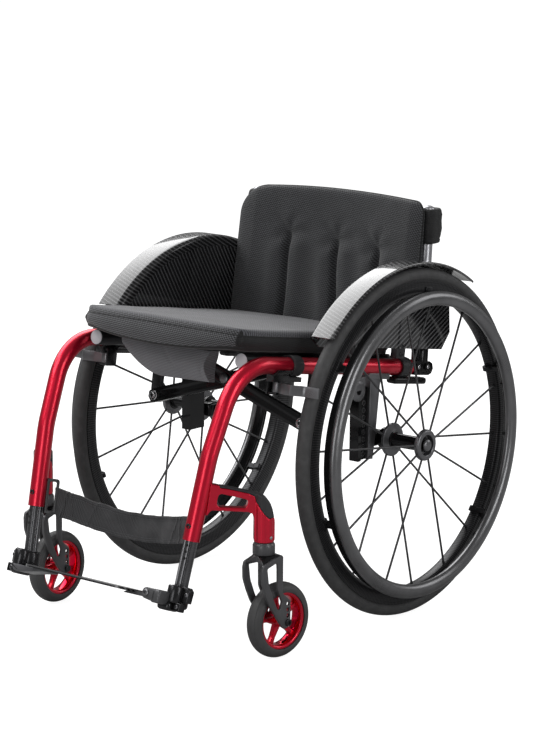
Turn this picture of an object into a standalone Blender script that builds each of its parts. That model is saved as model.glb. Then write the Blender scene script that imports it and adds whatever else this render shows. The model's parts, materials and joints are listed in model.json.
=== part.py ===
"""Folding active wheelchair, built as separate pieces that move on their real axes.

Metres, +Z up. The occupant faces -Y, and +X is the occupant's left. Inside this file Y is
measured from the rear axle; the empty "chair" carries everything, and puts the middle of the
chair's length over the origin. Each side's pieces are modelled on the left, and their twins
on the right are mirrored. Pieces of the seat are laid out along the rail: "s" runs back
along the seat rail, "h" stands square to it, and both start over the rear axle.
"""
import math

import bmesh
import bpy
from mathutils import Matrix, Vector

# Clearance that touching pieces keep, the play of a pin in its hole, and a round bar's sides
GAP = 0.0003
PLAY = 0.0004
ROUND_SIDES = 14

# The rails carry all that lies beside them, so widths start from here
RAIL_X = 0.187

# Rear wheels
WHEEL_RADIUS = 0.295
TYRE_HALF_WIDTH = 0.0125
WHEEL_OUTSET = 0.059
HALF_TRACK = RAIL_X + WHEEL_OUTSET
CAMBER = math.radians(0.5)
RIM_HALF_WIDTH = 0.0115
RIM_DEPTH = 0.025
SPOKES_PER_FLANGE = 9
SPOKE_RADIUS = 0.0011
OUTER_SPOKE_ANGLE = math.radians(14)
INNER_SPOKE_ANGLE = math.radians(-6)
FLANGE_OFFSET = 0.034
FLANGE_RADIUS = 0.0285
BARREL_RADIUS = 0.012
AXLE_RADIUS = 0.0062
BUTTON_RADIUS = 0.0095
BUTTON_TRAVEL = 0.004
HANDRIM_OFFSET = 0.0383
HANDRIM_DROP = 0.0353
HANDRIM_RADIUS = WHEEL_RADIUS - HANDRIM_DROP
HANDRIM_DEPTH = 0.024
HANDRIM_WIDTH = 0.018
HANDRIM_TABS = 6
WHEEL_STEPS = 28

# Side frames
SEAT_SLOPE = math.radians(8.75)
RAIL_HEIGHT = 0.4166
TUBE_RADIUS = 0.014
TUBE_BORE = 0.0115
RAIL_REAR = 0.077
CASTER_CLEARANCE = 0.085
RAIL_CORNER = -(WHEEL_RADIUS + CASTER_CLEARANCE)
BEND_RADIUS = 0.092
KNEE_INSET = 0.0087
KNEE_AHEAD = 0.0545
KNEE_HEIGHT = 0.335
KNEE = (RAIL_X - KNEE_INSET, RAIL_CORNER - KNEE_AHEAD, KNEE_HEIGHT)
KNEE_RADIUS = 0.15
TUBE_END_INSET = 0.017
TUBE_END_AHEAD = 0.088
TUBE_END_HEIGHT = 0.2035
DOWN_TUBE_END = (RAIL_X - TUBE_END_INSET, RAIL_CORNER - TUBE_END_AHEAD, TUBE_END_HEIGHT)
BAND_RADIUS = 0.0178

# Cross brace
SEAT_TUBE_INSET = 0.029
SEAT_TUBE_X = RAIL_X - SEAT_TUBE_INSET
SEAT_TUBE_RADIUS = 0.013
SEAT_TUBE_RISE = 0.003
SEAT_TUBE_SETBACK = 0.041
SEAT_TUBE_FRONT = RAIL_CORNER + SEAT_TUBE_SETBACK
SEAT_TUBE_REAR = 0.071
PIVOT_INSET = 0.016
PIVOT_X = RAIL_X - PIVOT_INSET
PIVOT_DROP = 0.100
PIVOT_S = -0.168
BAR_PITCH = 0.020
BAR_THICKNESS = 0.012
BAR_HEIGHT = 0.024
PIVOT_BOLT_RADIUS = 0.004
CROSS_BOLT_RADIUS = 0.005
HANGER_THICKNESS = 0.006
BAND_WIDTH = 0.020
CRADLE_WIDTH = 0.024
CRADLE_SETBACK = 0.136
CRADLE_FRONT_S = RAIL_CORNER + CRADLE_SETBACK
CRADLE_REAR_S = 0.053

# Casters
CASTER_RADIUS = 0.062
CASTER_HALF_WIDTH = 0.0148
CASTER_RIM_RADIUS = 0.0466
CASTER_SPOKES = 5
STEM_INSET = 0.003
STEM_SETBACK = 0.004
STEM_X = HALF_TRACK - STEM_INSET
STEM_Y = RAIL_CORNER + STEM_SETBACK
TRAIL = 0.032
CASTER_TURN_LEFT = math.radians(-7)
CASTER_TURN_RIGHT = math.radians(1)
STEM_RADIUS = 0.006
HEAD_RADIUS = 0.0165
HEAD_BOTTOM = 0.197
HEAD_TOP = 0.240
COLLAR_BOTTOM = 0.177
LEG_OFFSET = 0.0215
LEG_THICKNESS = 0.005
ARM_THICKNESS = 0.016
CASTER_STEPS = 18

# Footrest
FOOT_TUBE_RADIUS = 0.011
FOOT_TUBE_INSIDE = 0.070
FOOT_TUBE_OUTSIDE = 0.112
PLATE_DEPTH = 0.090
PLATE_THICKNESS = 0.004
PLATE_TILT = math.radians(20)
PLATE_PIVOT_INSET = 0.046
PLATE_AHEAD = 0.143
PLATE_HEIGHT = 0.1225
PLATE_PIVOT = (RAIL_X - PLATE_PIVOT_INSET, RAIL_CORNER - PLATE_AHEAD, PLATE_HEIGHT)
PLATE_CLEARANCE = 0.031
PLATE_HALF_WIDTH = PLATE_PIVOT[0] - PLATE_CLEARANCE
HINGE_PIN_RADIUS = 0.003

# Backrest
BACK_TUBE_RADIUS = 0.011
BACK_S = 0.108
BACK_LEAN = math.radians(5.0)
BACK_TUBE_TOP = 0.278
BACK_FRONT_S = 0.055
BACK_HOLLOW = 0.016
BACK_TOP = 0.283
BACK_BOTTOM = 0.032
BACK_OVERHANG = 0.017
BACK_HALF_WIDTH = RAIL_X + BACK_OVERHANG
BACK_CORNER = 0.045
SLEEVE_LOW = 0.219
SLEEVE_HIGH = 0.270

# Seat
CUSHION_INSET = 0.007
CUSHION_HALF_WIDTH = RAIL_X - CUSHION_INSET
CUSHION_SETBACK = 0.014
CUSHION_FRONT = RAIL_CORNER + CUSHION_SETBACK
CUSHION_REAR = 0.048
CUSHION_THICKNESS = 0.033
SLING_THICKNESS = 0.0025
SEAT_SAG = 0.008

# Sideguards
GUARD_OUTSET = 0.0195
GUARD_X = RAIL_X + GUARD_OUTSET
GUARD_WALL = 0.003
GUARD_CLEARANCE = 0.0075
GUARD_RADIUS = WHEEL_RADIUS + GUARD_CLEARANCE
GUARD_LIP = 0.010
GUARD_FLANGE = 0.049
GUARD_EDGE_X = GUARD_X + GUARD_FLANGE
GUARD_FRONT_HEIGHT = 0.0444
GUARD_REAR_ANGLE = math.radians(57)
GUARD_BOTTOM = 0.034
GUARD_FEET = ((-0.112, -0.088), (0.010, 0.034))

# Parking brakes
BRAKE_AHEAD = 0.0148
BRAKE_ARM_TOP = -0.0265
BRAKE_ARM_HEIGHT = 0.017
BRAKE_PIN_RADIUS = 0.003

# Where the wheel's axis lies on the rail's own scales, and what the tyre's front decides there
AXLE_DROP = RAIL_HEIGHT - WHEEL_RADIUS * math.cos(CAMBER)
AXLE_S = AXLE_DROP * math.sin(SEAT_SLOPE)
AXLE_H = -AXLE_DROP * math.cos(SEAT_SLOPE)
BRAKE_S = AXLE_S - math.sqrt(WHEEL_RADIUS ** 2 - (BRAKE_ARM_TOP - AXLE_H) ** 2) - BRAKE_AHEAD
GUARD_FRONT_ANGLE = (math.pi - SEAT_SLOPE
                     - math.asin((GUARD_FRONT_HEIGHT - AXLE_H) / (GUARD_RADIUS - GUARD_LIP)))

# The chair's length runs from the footplate's front edge to the back of the rear tyres
FRONT_REACH = -PLATE_PIVOT[1] + PLATE_DEPTH / 2 * math.cos(PLATE_TILT) + PLATE_THICKNESS * math.sin(PLATE_TILT)
CENTRE_SHIFT = (FRONT_REACH - WHEEL_RADIUS) / 2

RAIL_MATRIX = Matrix.Translation((0, 0, RAIL_HEIGHT)) @ Matrix.Rotation(-SEAT_SLOPE, 4, "X")

FINISHES = {
    "red_paint": ((0.46, 0.010, 0.028), 0.25, 0.55),
    "black_metal": ((0.020, 0.020, 0.022), 0.42, 0.60),
    "grey_metal": ((0.16, 0.16, 0.17), 0.38, 0.80),
    "satin_ring": ((0.11, 0.11, 0.115), 0.40, 0.30),
    "bright_metal": ((0.62, 0.62, 0.64), 0.25, 1.0),
    "tyre_rubber": ((0.055, 0.055, 0.057), 0.70, 0.0),
    "moulded_plastic": ((0.025, 0.025, 0.027), 0.50, 0.0),
    "carbon": ((0.030, 0.030, 0.032), 0.25, 0.10),
    "mesh_fabric": ((0.045, 0.045, 0.048), 0.85, 0.0),
    "webbing": ((0.035, 0.035, 0.037), 0.90, 0.0),
}


def clear_scene():
    for item in list(bpy.data.objects):
        bpy.data.objects.remove(item, do_unlink=True)


def make_finish(name):
    """The material of one finish, made when it is first asked for."""
    finish = bpy.data.materials.get(name)
    if finish is None:
        colour, roughness, metallic = FINISHES[name]
        finish = bpy.data.materials.new(name)
        finish.use_nodes = True
        shader = finish.node_tree.nodes["Principled BSDF"]
        shader.inputs["Base Color"].default_value = (*colour, 1.0)
        shader.inputs["Roughness"].default_value = roughness
        shader.inputs["Metallic"].default_value = metallic
        finish.diffuse_color = (*colour, 1.0)
    return finish


def link(name, mesh):
    thing = bpy.data.objects.new(name, mesh)
    bpy.context.scene.collection.objects.link(thing)
    return thing


def from_bmesh(shape, name="shape"):
    """Turns a closed bmesh into an object with its faces pointing out."""
    bmesh.ops.remove_doubles(shape, verts=shape.verts, dist=1e-6)
    bmesh.ops.recalc_face_normals(shape, faces=shape.faces)
    mesh = bpy.data.meshes.new(name)
    shape.to_mesh(mesh)
    shape.free()
    return link(name, mesh)


def pivot(name, location, rotation=(0, 0, 0), parent=None):
    """An empty on a joint's axis."""
    empty = link(name, None)
    empty.location = location
    empty.rotation_euler = rotation
    empty.parent = parent
    return empty


def boolean(body, tool, operation="DIFFERENCE"):
    """Cuts body with tool, or joins tool to it, and removes the tool."""
    change = body.modifiers.new(operation.title(), "BOOLEAN")
    change.operation = operation
    change.solver = "EXACT"
    change.object = tool
    graph = bpy.context.evaluated_depsgraph_get()
    result = bpy.data.meshes.new_from_object(body.evaluated_get(graph))
    body.modifiers.clear()
    body.data = result
    bpy.data.objects.remove(tool)
    return body


def join(body, *tools):
    for tool in tools:
        boolean(body, tool, "UNION")
    return body


def cut(body, *tools):
    for tool in tools:
        boolean(body, tool, "DIFFERENCE")
    return body


def finished(body, name, finish, parent, matrix=None):
    """Names a modelled body, gives it its finish and hangs it on its parent."""
    if matrix is not None:
        body.data.transform(matrix)
    body.name = name
    body.data.name = name
    body.data.materials.clear()
    body.data.materials.append(make_finish(finish))
    body.data.shade_smooth()
    body.data.set_sharp_from_angle(angle=math.radians(38))
    body.parent = parent
    return body


def twin(body, name, parent):
    """The mirrored copy of a left piece, for the right side."""
    mesh = body.data.copy()
    mesh.transform(Matrix.Scale(-1, 4, (1, 0, 0)))
    mesh.flip_normals()
    mesh.name = name
    other = link(name, mesh)
    other.parent = parent
    return other


def on_rail(x, s, h):
    """A point given along and above the seat rail, in the chair's frame."""
    return RAIL_MATRIX @ Vector((x, s, h))


def rod(start, end, radius, sides=ROUND_SIDES, end_radius=None):
    """A cylinder or cone from start to end."""
    start, end = Vector(start), Vector(end)
    shape = bmesh.new()
    bmesh.ops.create_cone(shape, cap_ends=True, segments=sides, radius1=radius,
                          radius2=radius if end_radius is None else end_radius,
                          depth=(end - start).length)
    turn = (end - start).to_track_quat("Z", "Y").to_matrix().to_4x4()
    shape.transform(Matrix.Translation((start + end) / 2) @ turn)
    return from_bmesh(shape)


def bore(start, end, radius, sides=ROUND_SIDES):
    """A cutter whose flats clear a rod of this radius."""
    return rod(start, end, radius / math.cos(math.pi / sides), sides)


def block(low, high, bevel=0.0):
    """A box between two corners, with bevelled edges."""
    low, high = Vector(low), Vector(high)
    size = high - low
    shape = bmesh.new()
    bmesh.ops.create_cube(shape, size=1.0)
    shape.transform(Matrix.Translation((low + high) / 2) @ Matrix.Diagonal((*size, 1.0)))
    if bevel:
        bmesh.ops.bevel(shape, geom=shape.edges, offset=bevel, segments=1, profile=0.5,
                        affect="EDGES", material=-1)
    return from_bmesh(shape)


def turned(profile, steps, ring=False):
    """Turns a profile of (x, radius) points about the X axis; a ring's profile is closed."""
    shape = bmesh.new()
    points = [shape.verts.new((x, radius, 0)) for x, radius in profile]
    pairs = list(zip(points, points[1:]))
    if ring:
        pairs.append((points[-1], points[0]))
    edges = [shape.edges.new(pair) for pair in pairs]
    bmesh.ops.spin(shape, geom=points + edges, cent=(0, 0, 0), axis=(1, 0, 0),
                   angle=2 * math.pi, steps=steps, use_merge=True)
    return from_bmesh(shape)


def swept_arc(profile, start, end, steps):
    """Sweeps a closed profile of (x, radius) points about the X axis, with flat ends."""
    shape = bmesh.new()
    rings = []
    for k in range(steps + 1):
        angle = start + (end - start) * k / steps
        rings.append([shape.verts.new(around_x(radius, angle, x)) for x, radius in profile])
    for near, far in zip(rings, rings[1:]):
        for a, b, c, d in zip(near, near[1:] + near[:1], far[1:] + far[:1], far):
            shape.faces.new((a, b, c, d))
    shape.faces.new(rings[0])
    shape.faces.new(rings[-1])
    return from_bmesh(shape)


def fillet(corner, before, after, radius, steps):
    """Points of an arc that rounds a corner between two straight runs."""
    if radius == 0:
        return [corner]
    into = (before - corner).normalized()
    out = (after - corner).normalized()
    half = into.angle(out) / 2
    reach = radius / math.tan(half)
    middle = corner + (into + out).normalized() * (radius / math.sin(half))
    first = corner + into * reach - middle
    last = corner + out * reach - middle
    sweep = first.angle(last)
    return [middle + (first * math.sin(sweep * (1 - k / steps)) + last * math.sin(sweep * k / steps))
            / math.sin(sweep) for k in range(steps + 1)]


def rounded(corners, steps=2):
    """A closed outline whose corners (a, b, radius) are rounded."""
    spots = [Vector((a, b)) for a, b, radius in corners]
    outline = []
    for index, (a, b, radius) in enumerate(corners):
        after = spots[(index + 1) % len(spots)]
        outline += fillet(spots[index], spots[index - 1], after, radius, steps)
    return outline


def bent(corners, bends):
    """A path through the corners; bends gives each inner corner's radius and steps."""
    spots = [Vector(corner) for corner in corners]
    path = [spots[0]]
    for before, corner, after, (radius, steps) in zip(spots, spots[1:], spots[2:], bends):
        path += fillet(corner, before, after, radius, steps)
    return path + [spots[-1]]


def pipe(path, radius, sides=ROUND_SIDES):
    """A round bar along a path, with flat ends."""
    line = bpy.data.curves.new("path", "CURVE")
    line.dimensions = "3D"
    line.bevel_depth = radius
    line.bevel_resolution = sides // 2 - 2
    line.use_fill_caps = True
    run = line.splines.new("POLY")
    run.points.add(len(path) - 1)
    for point, spot in zip(run.points, path):
        point.co = (*spot, 1.0)
    guide = link("path", line)
    graph = bpy.context.evaluated_depsgraph_get()
    shape = bmesh.new()
    shape.from_mesh(bpy.data.meshes.new_from_object(guide.evaluated_get(graph)))
    bpy.data.objects.remove(guide)
    return from_bmesh(shape)


def plate(outline, low, high, plane="YZ"):
    """Extrudes an outline, drawn in a plane, between two levels of the third axis."""
    place = {"YZ": lambda a, b: (low, a, b), "XY": lambda a, b: (a, b, low),
             "XZ": lambda a, b: (a, low, b)}[plane]
    push = {"YZ": (high - low, 0, 0), "XY": (0, 0, high - low), "XZ": (0, high - low, 0)}[plane]
    shape = bmesh.new()
    face = shape.faces.new([shape.verts.new(place(*spot)) for spot in outline])
    grown = bmesh.ops.extrude_face_region(shape, geom=[face])["geom"]
    moved = [item for item in grown if isinstance(item, bmesh.types.BMVert)]
    bmesh.ops.translate(shape, verts=moved, vec=push)
    return from_bmesh(shape)


def pad(half_x, half_y, columns, rows, surface):
    """A closed pad over a grid; surface(u, v) gives its lower and upper point, u and v in -1..1."""
    shape = bmesh.new()
    bmesh.ops.create_grid(shape, x_segments=columns, y_segments=rows, size=1.0)
    lower = {vert: surface(vert.co.x, vert.co.y)[0] for vert in shape.verts}
    upper = {vert: surface(vert.co.x, vert.co.y)[1] for vert in shape.verts}
    base = list(shape.verts)
    grown = bmesh.ops.extrude_face_region(shape, geom=list(shape.faces))["geom"]
    raised = [item for item in grown if isinstance(item, bmesh.types.BMVert)]
    for vert in raised:
        match = min(base, key=lambda other: (other.co - vert.co).length_squared)
        vert.co = upper[match]
    for vert in base:
        vert.co = lower[vert]
    return from_bmesh(shape)


def around_x(radius, angle, x=0.0):
    """A point at an angle round the wheel's axle, measured from the rear upwards."""
    return Vector((x, radius * math.cos(angle), radius * math.sin(angle)))


def rear_wheel(side, chair):
    """Tyre, rim, hub with its spokes, handrim, axle and release button of one rear wheel."""
    sign = 1 if side == "left" else -1
    hub_height = WHEEL_RADIUS * math.cos(CAMBER)
    axis = pivot("wheel_axis_" + side, (sign * HALF_TRACK, 0, hub_height),
                 (0, -sign * CAMBER, 0), chair)
    if side == "right":
        for name in ("rear_tyre", "rear_rim", "rear_hub", "handrim", "quick_axle"):
            twin(bpy.data.objects[name + "_left"], name + "_right", axis)
        button_axis = pivot("button_axis_right", (0, 0, 0), parent=axis)
        twin(bpy.data.objects["release_button_left"], "release_button_right", button_axis)
        return

    seat = WHEEL_RADIUS - 2 * TYRE_HALF_WIDTH + 0.0017
    bead = RIM_HALF_WIDTH - 0.0017
    hook = seat + 0.0038
    inner = seat - RIM_DEPTH + 0.0037
    round_part = WHEEL_RADIUS - TYRE_HALF_WIDTH
    tread = [(TYRE_HALF_WIDTH * math.sin(math.radians(lean)),
              round_part + TYRE_HALF_WIDTH * math.cos(math.radians(lean))) for lean in (-80, -42, 0, 42, 80)]
    bead_half = bead - GAP
    tyre = [(-bead_half, seat + GAP), (-bead_half, hook)] + tread
    tyre += [(bead_half, hook), (bead_half, seat + GAP)]
    finished(turned(tyre, WHEEL_STEPS, ring=True), "rear_tyre_left", "tyre_rubber", axis)

    slope = inner + 0.0055
    rim = [(-0.0085, inner), (0.0085, inner), (RIM_HALF_WIDTH, slope), (RIM_HALF_WIDTH, hook),
           (bead, seat), (-bead, seat), (-RIM_HALF_WIDTH, hook), (-RIM_HALF_WIDTH, slope)]
    finished(turned(rim, WHEEL_STEPS, ring=True), "rear_rim_left", "black_metal", axis)

    inner_end = -FLANGE_OFFSET - 0.006
    outer_end = FLANGE_OFFSET + 0.006
    bore_radius = AXLE_RADIUS + GAP
    hub_profile = [
        (inner_end, bore_radius), (inner_end, 0.0125), (-FLANGE_OFFSET - 0.003, 0.016),
        (-FLANGE_OFFSET - 0.003, FLANGE_RADIUS), (-FLANGE_OFFSET + 0.003, FLANGE_RADIUS),
        (-FLANGE_OFFSET + 0.004, BARREL_RADIUS), (FLANGE_OFFSET - 0.004, BARREL_RADIUS),
        (FLANGE_OFFSET - 0.003, FLANGE_RADIUS - 0.002), (FLANGE_OFFSET + 0.004, FLANGE_RADIUS - 0.002),
        (outer_end, FLANGE_RADIUS - 0.005), (outer_end, 0.0175), (FLANGE_OFFSET - 0.005, 0.0165),
        (FLANGE_OFFSET - 0.005, bore_radius)]
    hub = turned(hub_profile, 12, ring=True)
    for offset, first in ((FLANGE_OFFSET, OUTER_SPOKE_ANGLE), (-FLANGE_OFFSET, INNER_SPOKE_ANGLE)):
        for k in range(SPOKES_PER_FLANGE):
            angle = first + 2 * math.pi * k / SPOKES_PER_FLANGE
            root = around_x(FLANGE_RADIUS - 0.006, angle, offset)
            tip = around_x((inner - GAP) * math.cos(math.pi / WHEEL_STEPS), angle, offset * 0.08)
            join(hub, rod(root, tip, SPOKE_RADIUS, 4))
    finished(hub, "rear_hub_left", "black_metal", axis)

    grip_r = HANDRIM_RADIUS - HANDRIM_DEPTH / 2
    outline = []
    for k in range(6):
        angle = math.radians(-120 + 48 * k)
        outline.append((HANDRIM_OFFSET + HANDRIM_WIDTH / 2 * math.cos(angle),
                        grip_r + HANDRIM_DEPTH / 2 * math.sin(angle)))
    rail_u = HANDRIM_OFFSET - 0.0128
    rail_r = grip_r + 0.004
    for k in range(3):
        angle = math.radians(120 + 60 * k)
        outline.append((rail_u + 0.006 * math.cos(angle), rail_r + 0.006 * math.sin(angle)))
    ring = turned(outline, WHEEL_STEPS, ring=True)
    for k in range(HANDRIM_TABS):
        angle = math.radians(22) + 2 * math.pi * k / HANDRIM_TABS
        tab = block((RIM_HALF_WIDTH + GAP, rail_r + 0.001, -0.006), (rail_u, rail_r + 0.0055, 0.006))
        tab.data.transform(Matrix.Rotation(angle, 4, "X"))
        join(ring, tab)
    finished(ring, "handrim_left", "satin_ring", axis)

    shaft_end = inner_end - 0.044
    head = FLANGE_OFFSET - 0.0005
    stem_bore = 0.0032
    axle = turned([(shaft_end, 0), (shaft_end, AXLE_RADIUS - 0.001), (shaft_end + 0.001, AXLE_RADIUS),
                   (FLANGE_OFFSET - 0.0045, AXLE_RADIUS), (FLANGE_OFFSET - 0.0045, 0.0105), (head, 0.0105),
                   (head, stem_bore), (head - 0.018, stem_bore), (head - 0.018, 0)], 12)
    finished(axle, "quick_axle_left", "bright_metal", axis)

    button_axis = pivot("button_axis_left", (0, 0, 0), parent=axis)
    rest = head + BUTTON_TRAVEL + GAP
    button = turned([(head - 0.011, 0), (head - 0.011, stem_bore - GAP), (rest, stem_bore - GAP),
                     (rest, BUTTON_RADIUS), (rest + 0.003, BUTTON_RADIUS),
                     (rest + 0.0055, BUTTON_RADIUS * 0.6), (rest + 0.0062, 0)], 12)
    finished(button, "release_button_left", "grey_metal", button_axis)


def down_tube():
    """The front tube's lower end, and the unit vector down it."""
    end = Vector(DOWN_TUBE_END)
    return end, (end - Vector(KNEE)).normalized()


def frame_tube(chair):
    """Seat rail, front bend and front down tube, in one bent tube."""
    end, down = down_tube()
    corner = on_rail(RAIL_X, RAIL_CORNER, 0)
    path = bent([on_rail(RAIL_X, RAIL_REAR, 0), corner, KNEE, end], [(BEND_RADIUS, 7), (KNEE_RADIUS, 1)])
    tube = pipe(path, TUBE_RADIUS)
    cut(tube, bore(end - down * (FOOT_TUBE_INSIDE + 0.005), end + down * 0.01,
                   FOOT_TUBE_RADIUS + GAP))
    cut(tube, bore(on_rail(RAIL_X, RAIL_REAR - 0.032, 0), on_rail(RAIL_X, RAIL_REAR + 0.01, 0),
                   TUBE_BORE))
    finished(tube, "frame_tube_left", "red_paint", chair)
    twin(tube, "frame_tube_right", chair)


def rail_tube_clearance(low_s, high_s):
    """Cutter for the seat rail's own tube, in rail coordinates."""
    return bore((RAIL_X, low_s, 0), (RAIL_X, high_s, 0), TUBE_RADIUS + GAP)


def seat_tube_clearance(low_s, high_s):
    """Cutter for the seat tube and its way up, in rail coordinates."""
    radius = SEAT_TUBE_RADIUS + GAP
    path = bore((SEAT_TUBE_X, low_s, SEAT_TUBE_RISE), (SEAT_TUBE_X, high_s, SEAT_TUBE_RISE), radius)
    way = block((SEAT_TUBE_X - radius, low_s, SEAT_TUBE_RISE), (SEAT_TUBE_X + radius, high_s, 0.05))
    return join(path, way)


def rail_band(low_s, high_s):
    """A band round the seat rail, in rail coordinates."""
    return rod((RAIL_X, low_s, 0), (RAIL_X, high_s, 0), BAND_RADIUS)


def cradles(chair):
    """Bands on the rail with an open cup each, which the seat tube rests in."""
    for name, middle in (("cradle_front", CRADLE_FRONT_S), ("cradle_rear", CRADLE_REAR_S)):
        low, high = middle - CRADLE_WIDTH / 2, middle + CRADLE_WIDTH / 2
        cup = rod((SEAT_TUBE_X, low, SEAT_TUBE_RISE), (SEAT_TUBE_X, high, SEAT_TUBE_RISE),
                  SEAT_TUBE_RADIUS + 0.0035)
        top = SEAT_TUBE_RISE + 0.001
        cut(cup, block((SEAT_TUBE_X - 0.03, low - 0.01, top), (SEAT_TUBE_X + 0.03, high + 0.01, 0.05)))
        floor = block((SEAT_TUBE_X, low + 0.001, -BAND_RADIUS + 0.002), (RAIL_X, high - 0.001, -0.004))
        body = join(rail_band(low, high), cup, floor)
        cut(body, rail_tube_clearance(low - 0.01, high + 0.01))
        cut(body, seat_tube_clearance(low - 0.01, high + 0.01))
        finished(body, name + "_left", "moulded_plastic", chair, RAIL_MATRIX)
        twin(body, name + "_right", chair)


def bar_s(letter):
    """Where the cross bar's middle plane lies along the rail; bar a is the front one."""
    return PIVOT_S + (-BAR_PITCH / 2 if letter == "a" else BAR_PITCH / 2)


def pivot_h():
    return SEAT_TUBE_RISE - PIVOT_DROP


def hanger(side, letter, chair):
    """The hanger behind the bar's lower end, with the bolt that the bar turns on."""
    face = bar_s(letter) - BAR_THICKNESS / 2 - PLAY
    near = bar_s(letter) + BAR_THICKNESS / 2 + PLAY
    far = near + HANGER_THICKNESS
    low, high = (near + far - BAND_WIDTH) / 2, (near + far + BAND_WIDTH) / 2
    h = pivot_h()
    outline = rounded([(RAIL_X + 0.002, -0.002, 0), (RAIL_X + 0.002, h + 0.008, 0.006),
                       (PIVOT_X + 0.006, h - 0.012, 0.008), (PIVOT_X - 0.008, h - 0.012, 0.008),
                       (PIVOT_X - 0.012, h + 0.006, 0.008), (PIVOT_X - 0.0045, h + 0.020, 0.004),
                       (PIVOT_X - 0.0045, -0.002, 0)])
    body = join(rail_band(low, high), plate(outline, near, far, "XZ"))
    cut(body, rail_tube_clearance(low - 0.01, high + 0.01))
    cut(body, seat_tube_clearance(low - 0.01, high + 0.01))
    bolt = turned([(face - 0.004, 0), (face - 0.004, 0.0055), (face - 0.001, 0.0072), (face, 0.0072),
                   (face, PIVOT_BOLT_RADIUS), (far - 0.002, PIVOT_BOLT_RADIUS), (far - 0.002, 0.0065),
                   (far + 0.004, 0.0065), (far + 0.004, 0)], 12)
    bolt.data.transform(Matrix.Translation((PIVOT_X, 0, h)) @ Matrix.Rotation(math.pi / 2, 4, "Z"))
    join(body, bolt)
    finished(body, "hanger_" + side, "black_metal", chair, RAIL_MATRIX)
    if side == "right":
        body.data.transform(Matrix.Scale(-1, 4, (1, 0, 0)))
        body.data.flip_normals()


def brace_shape():
    """The cross bars' slope against the seat, their length, and how far up they cross."""
    span = PIVOT_X + SEAT_TUBE_X
    length = math.hypot(PIVOT_DROP, span)
    return math.atan2(PIVOT_DROP, span), length, length * PIVOT_X / span


def cross_bar(letter, chair):
    """One cross bar on its lower pivot, with the seat tube at its upper end.

    Bar a stands on the left hanger and carries the right seat tube; bar b is the other one.
    """
    sign = 1 if letter == "a" else -1
    angle, length, crossing = brace_shape()
    axis = pivot("brace_axis_" + letter, on_rail(sign * PIVOT_X, 0, pivot_h()),
                 (-SEAT_SLOPE, 0, 0), chair)
    s = bar_s(letter)
    low, high = s - BAR_THICKNESS / 2, s + BAR_THICKNESS / 2
    half = BAR_HEIGHT / 2
    outline = rounded([(-0.012, -half, 0.011), (length, -half, 0), (length, half, 0), (-0.012, half, 0.011)])
    bar = plate(outline, low, high, "XZ")
    cut(bar, bore((0, low - 0.01, 0), (0, high + 0.01, 0), PIVOT_BOLT_RADIUS + PLAY, 12))
    centre_play = PLAY if letter == "a" else GAP
    cut(bar, bore((crossing, low - 0.01, 0), (crossing, high + 0.01, 0), CROSS_BOLT_RADIUS + centre_play, 12))
    cut(bar, bore((length, low - 0.01, 0), (length, high + 0.01, 0), SEAT_TUBE_RADIUS + GAP))
    slot_low, slot_high = length * 0.60, length * 0.88
    groove = rounded([(slot_low, -0.005, 0.0045), (slot_high, -0.005, 0.0045),
                      (slot_high, 0.005, 0.0045), (slot_low, 0.005, 0.0045)])
    cut(bar, plate(groove, low - 0.001, low + 0.002, "XZ"))
    lean = Matrix.Rotation(math.pi + angle, 4, "Y") if sign > 0 else Matrix.Rotation(-angle, 4, "Y")
    finished(bar, "cross_bar_" + letter, "black_metal", axis, lean)

    cap = 0.003
    profile = [(SEAT_TUBE_FRONT, 0), (SEAT_TUBE_FRONT, SEAT_TUBE_RADIUS - 0.002),
               (SEAT_TUBE_FRONT + 0.001, SEAT_TUBE_RADIUS - 0.0005),
               (SEAT_TUBE_FRONT + cap, SEAT_TUBE_RADIUS), (SEAT_TUBE_REAR - cap, SEAT_TUBE_RADIUS),
               (SEAT_TUBE_REAR, SEAT_TUBE_RADIUS - 0.002), (SEAT_TUBE_REAR, 0)]
    tube = turned(profile, ROUND_SIDES)
    place = Matrix.Translation((-sign * (PIVOT_X + SEAT_TUBE_X), 0, PIVOT_DROP))
    other = "right" if letter == "a" else "left"
    finished(tube, "seat_tube_" + other, "black_metal", axis, place @ Matrix.Rotation(math.pi / 2, 4, "Z"))
    return axis


def cross_bolt(axis):
    """The bolt and spacer that the two bars turn on; it stays with bar b."""
    front = bar_s("a") - BAR_THICKNESS / 2 - PLAY
    back = bar_s("b") + BAR_THICKNESS / 2 + GAP
    inner = bar_s("a") + BAR_THICKNESS / 2 + PLAY
    outer = bar_s("b") - BAR_THICKNESS / 2 - GAP
    shank = CROSS_BOLT_RADIUS
    bolt = turned([(front - 0.004, 0), (front - 0.004, 0.006), (front - 0.0025, 0.009), (front, 0.009),
                   (front, shank), (inner, shank), (inner, 0.010), (outer, 0.010), (outer, shank),
                   (back, shank), (back, 0.009), (back + 0.005, 0.0075), (back + 0.005, 0)], 12)
    rise = PIVOT_DROP * PIVOT_X / (PIVOT_X + SEAT_TUBE_X)
    place = Matrix.Translation((PIVOT_X, 0, rise)) @ Matrix.Rotation(math.pi / 2, 4, "Z")
    finished(bolt, "cross_bolt", "black_metal", axis, place)


def back_point(height, sign=1):
    """A point on the leaning axis of a back tube, given by its height above the rail's axis."""
    return Vector((sign * RAIL_X, BACK_S - height * math.tan(BACK_LEAN), height))


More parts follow.
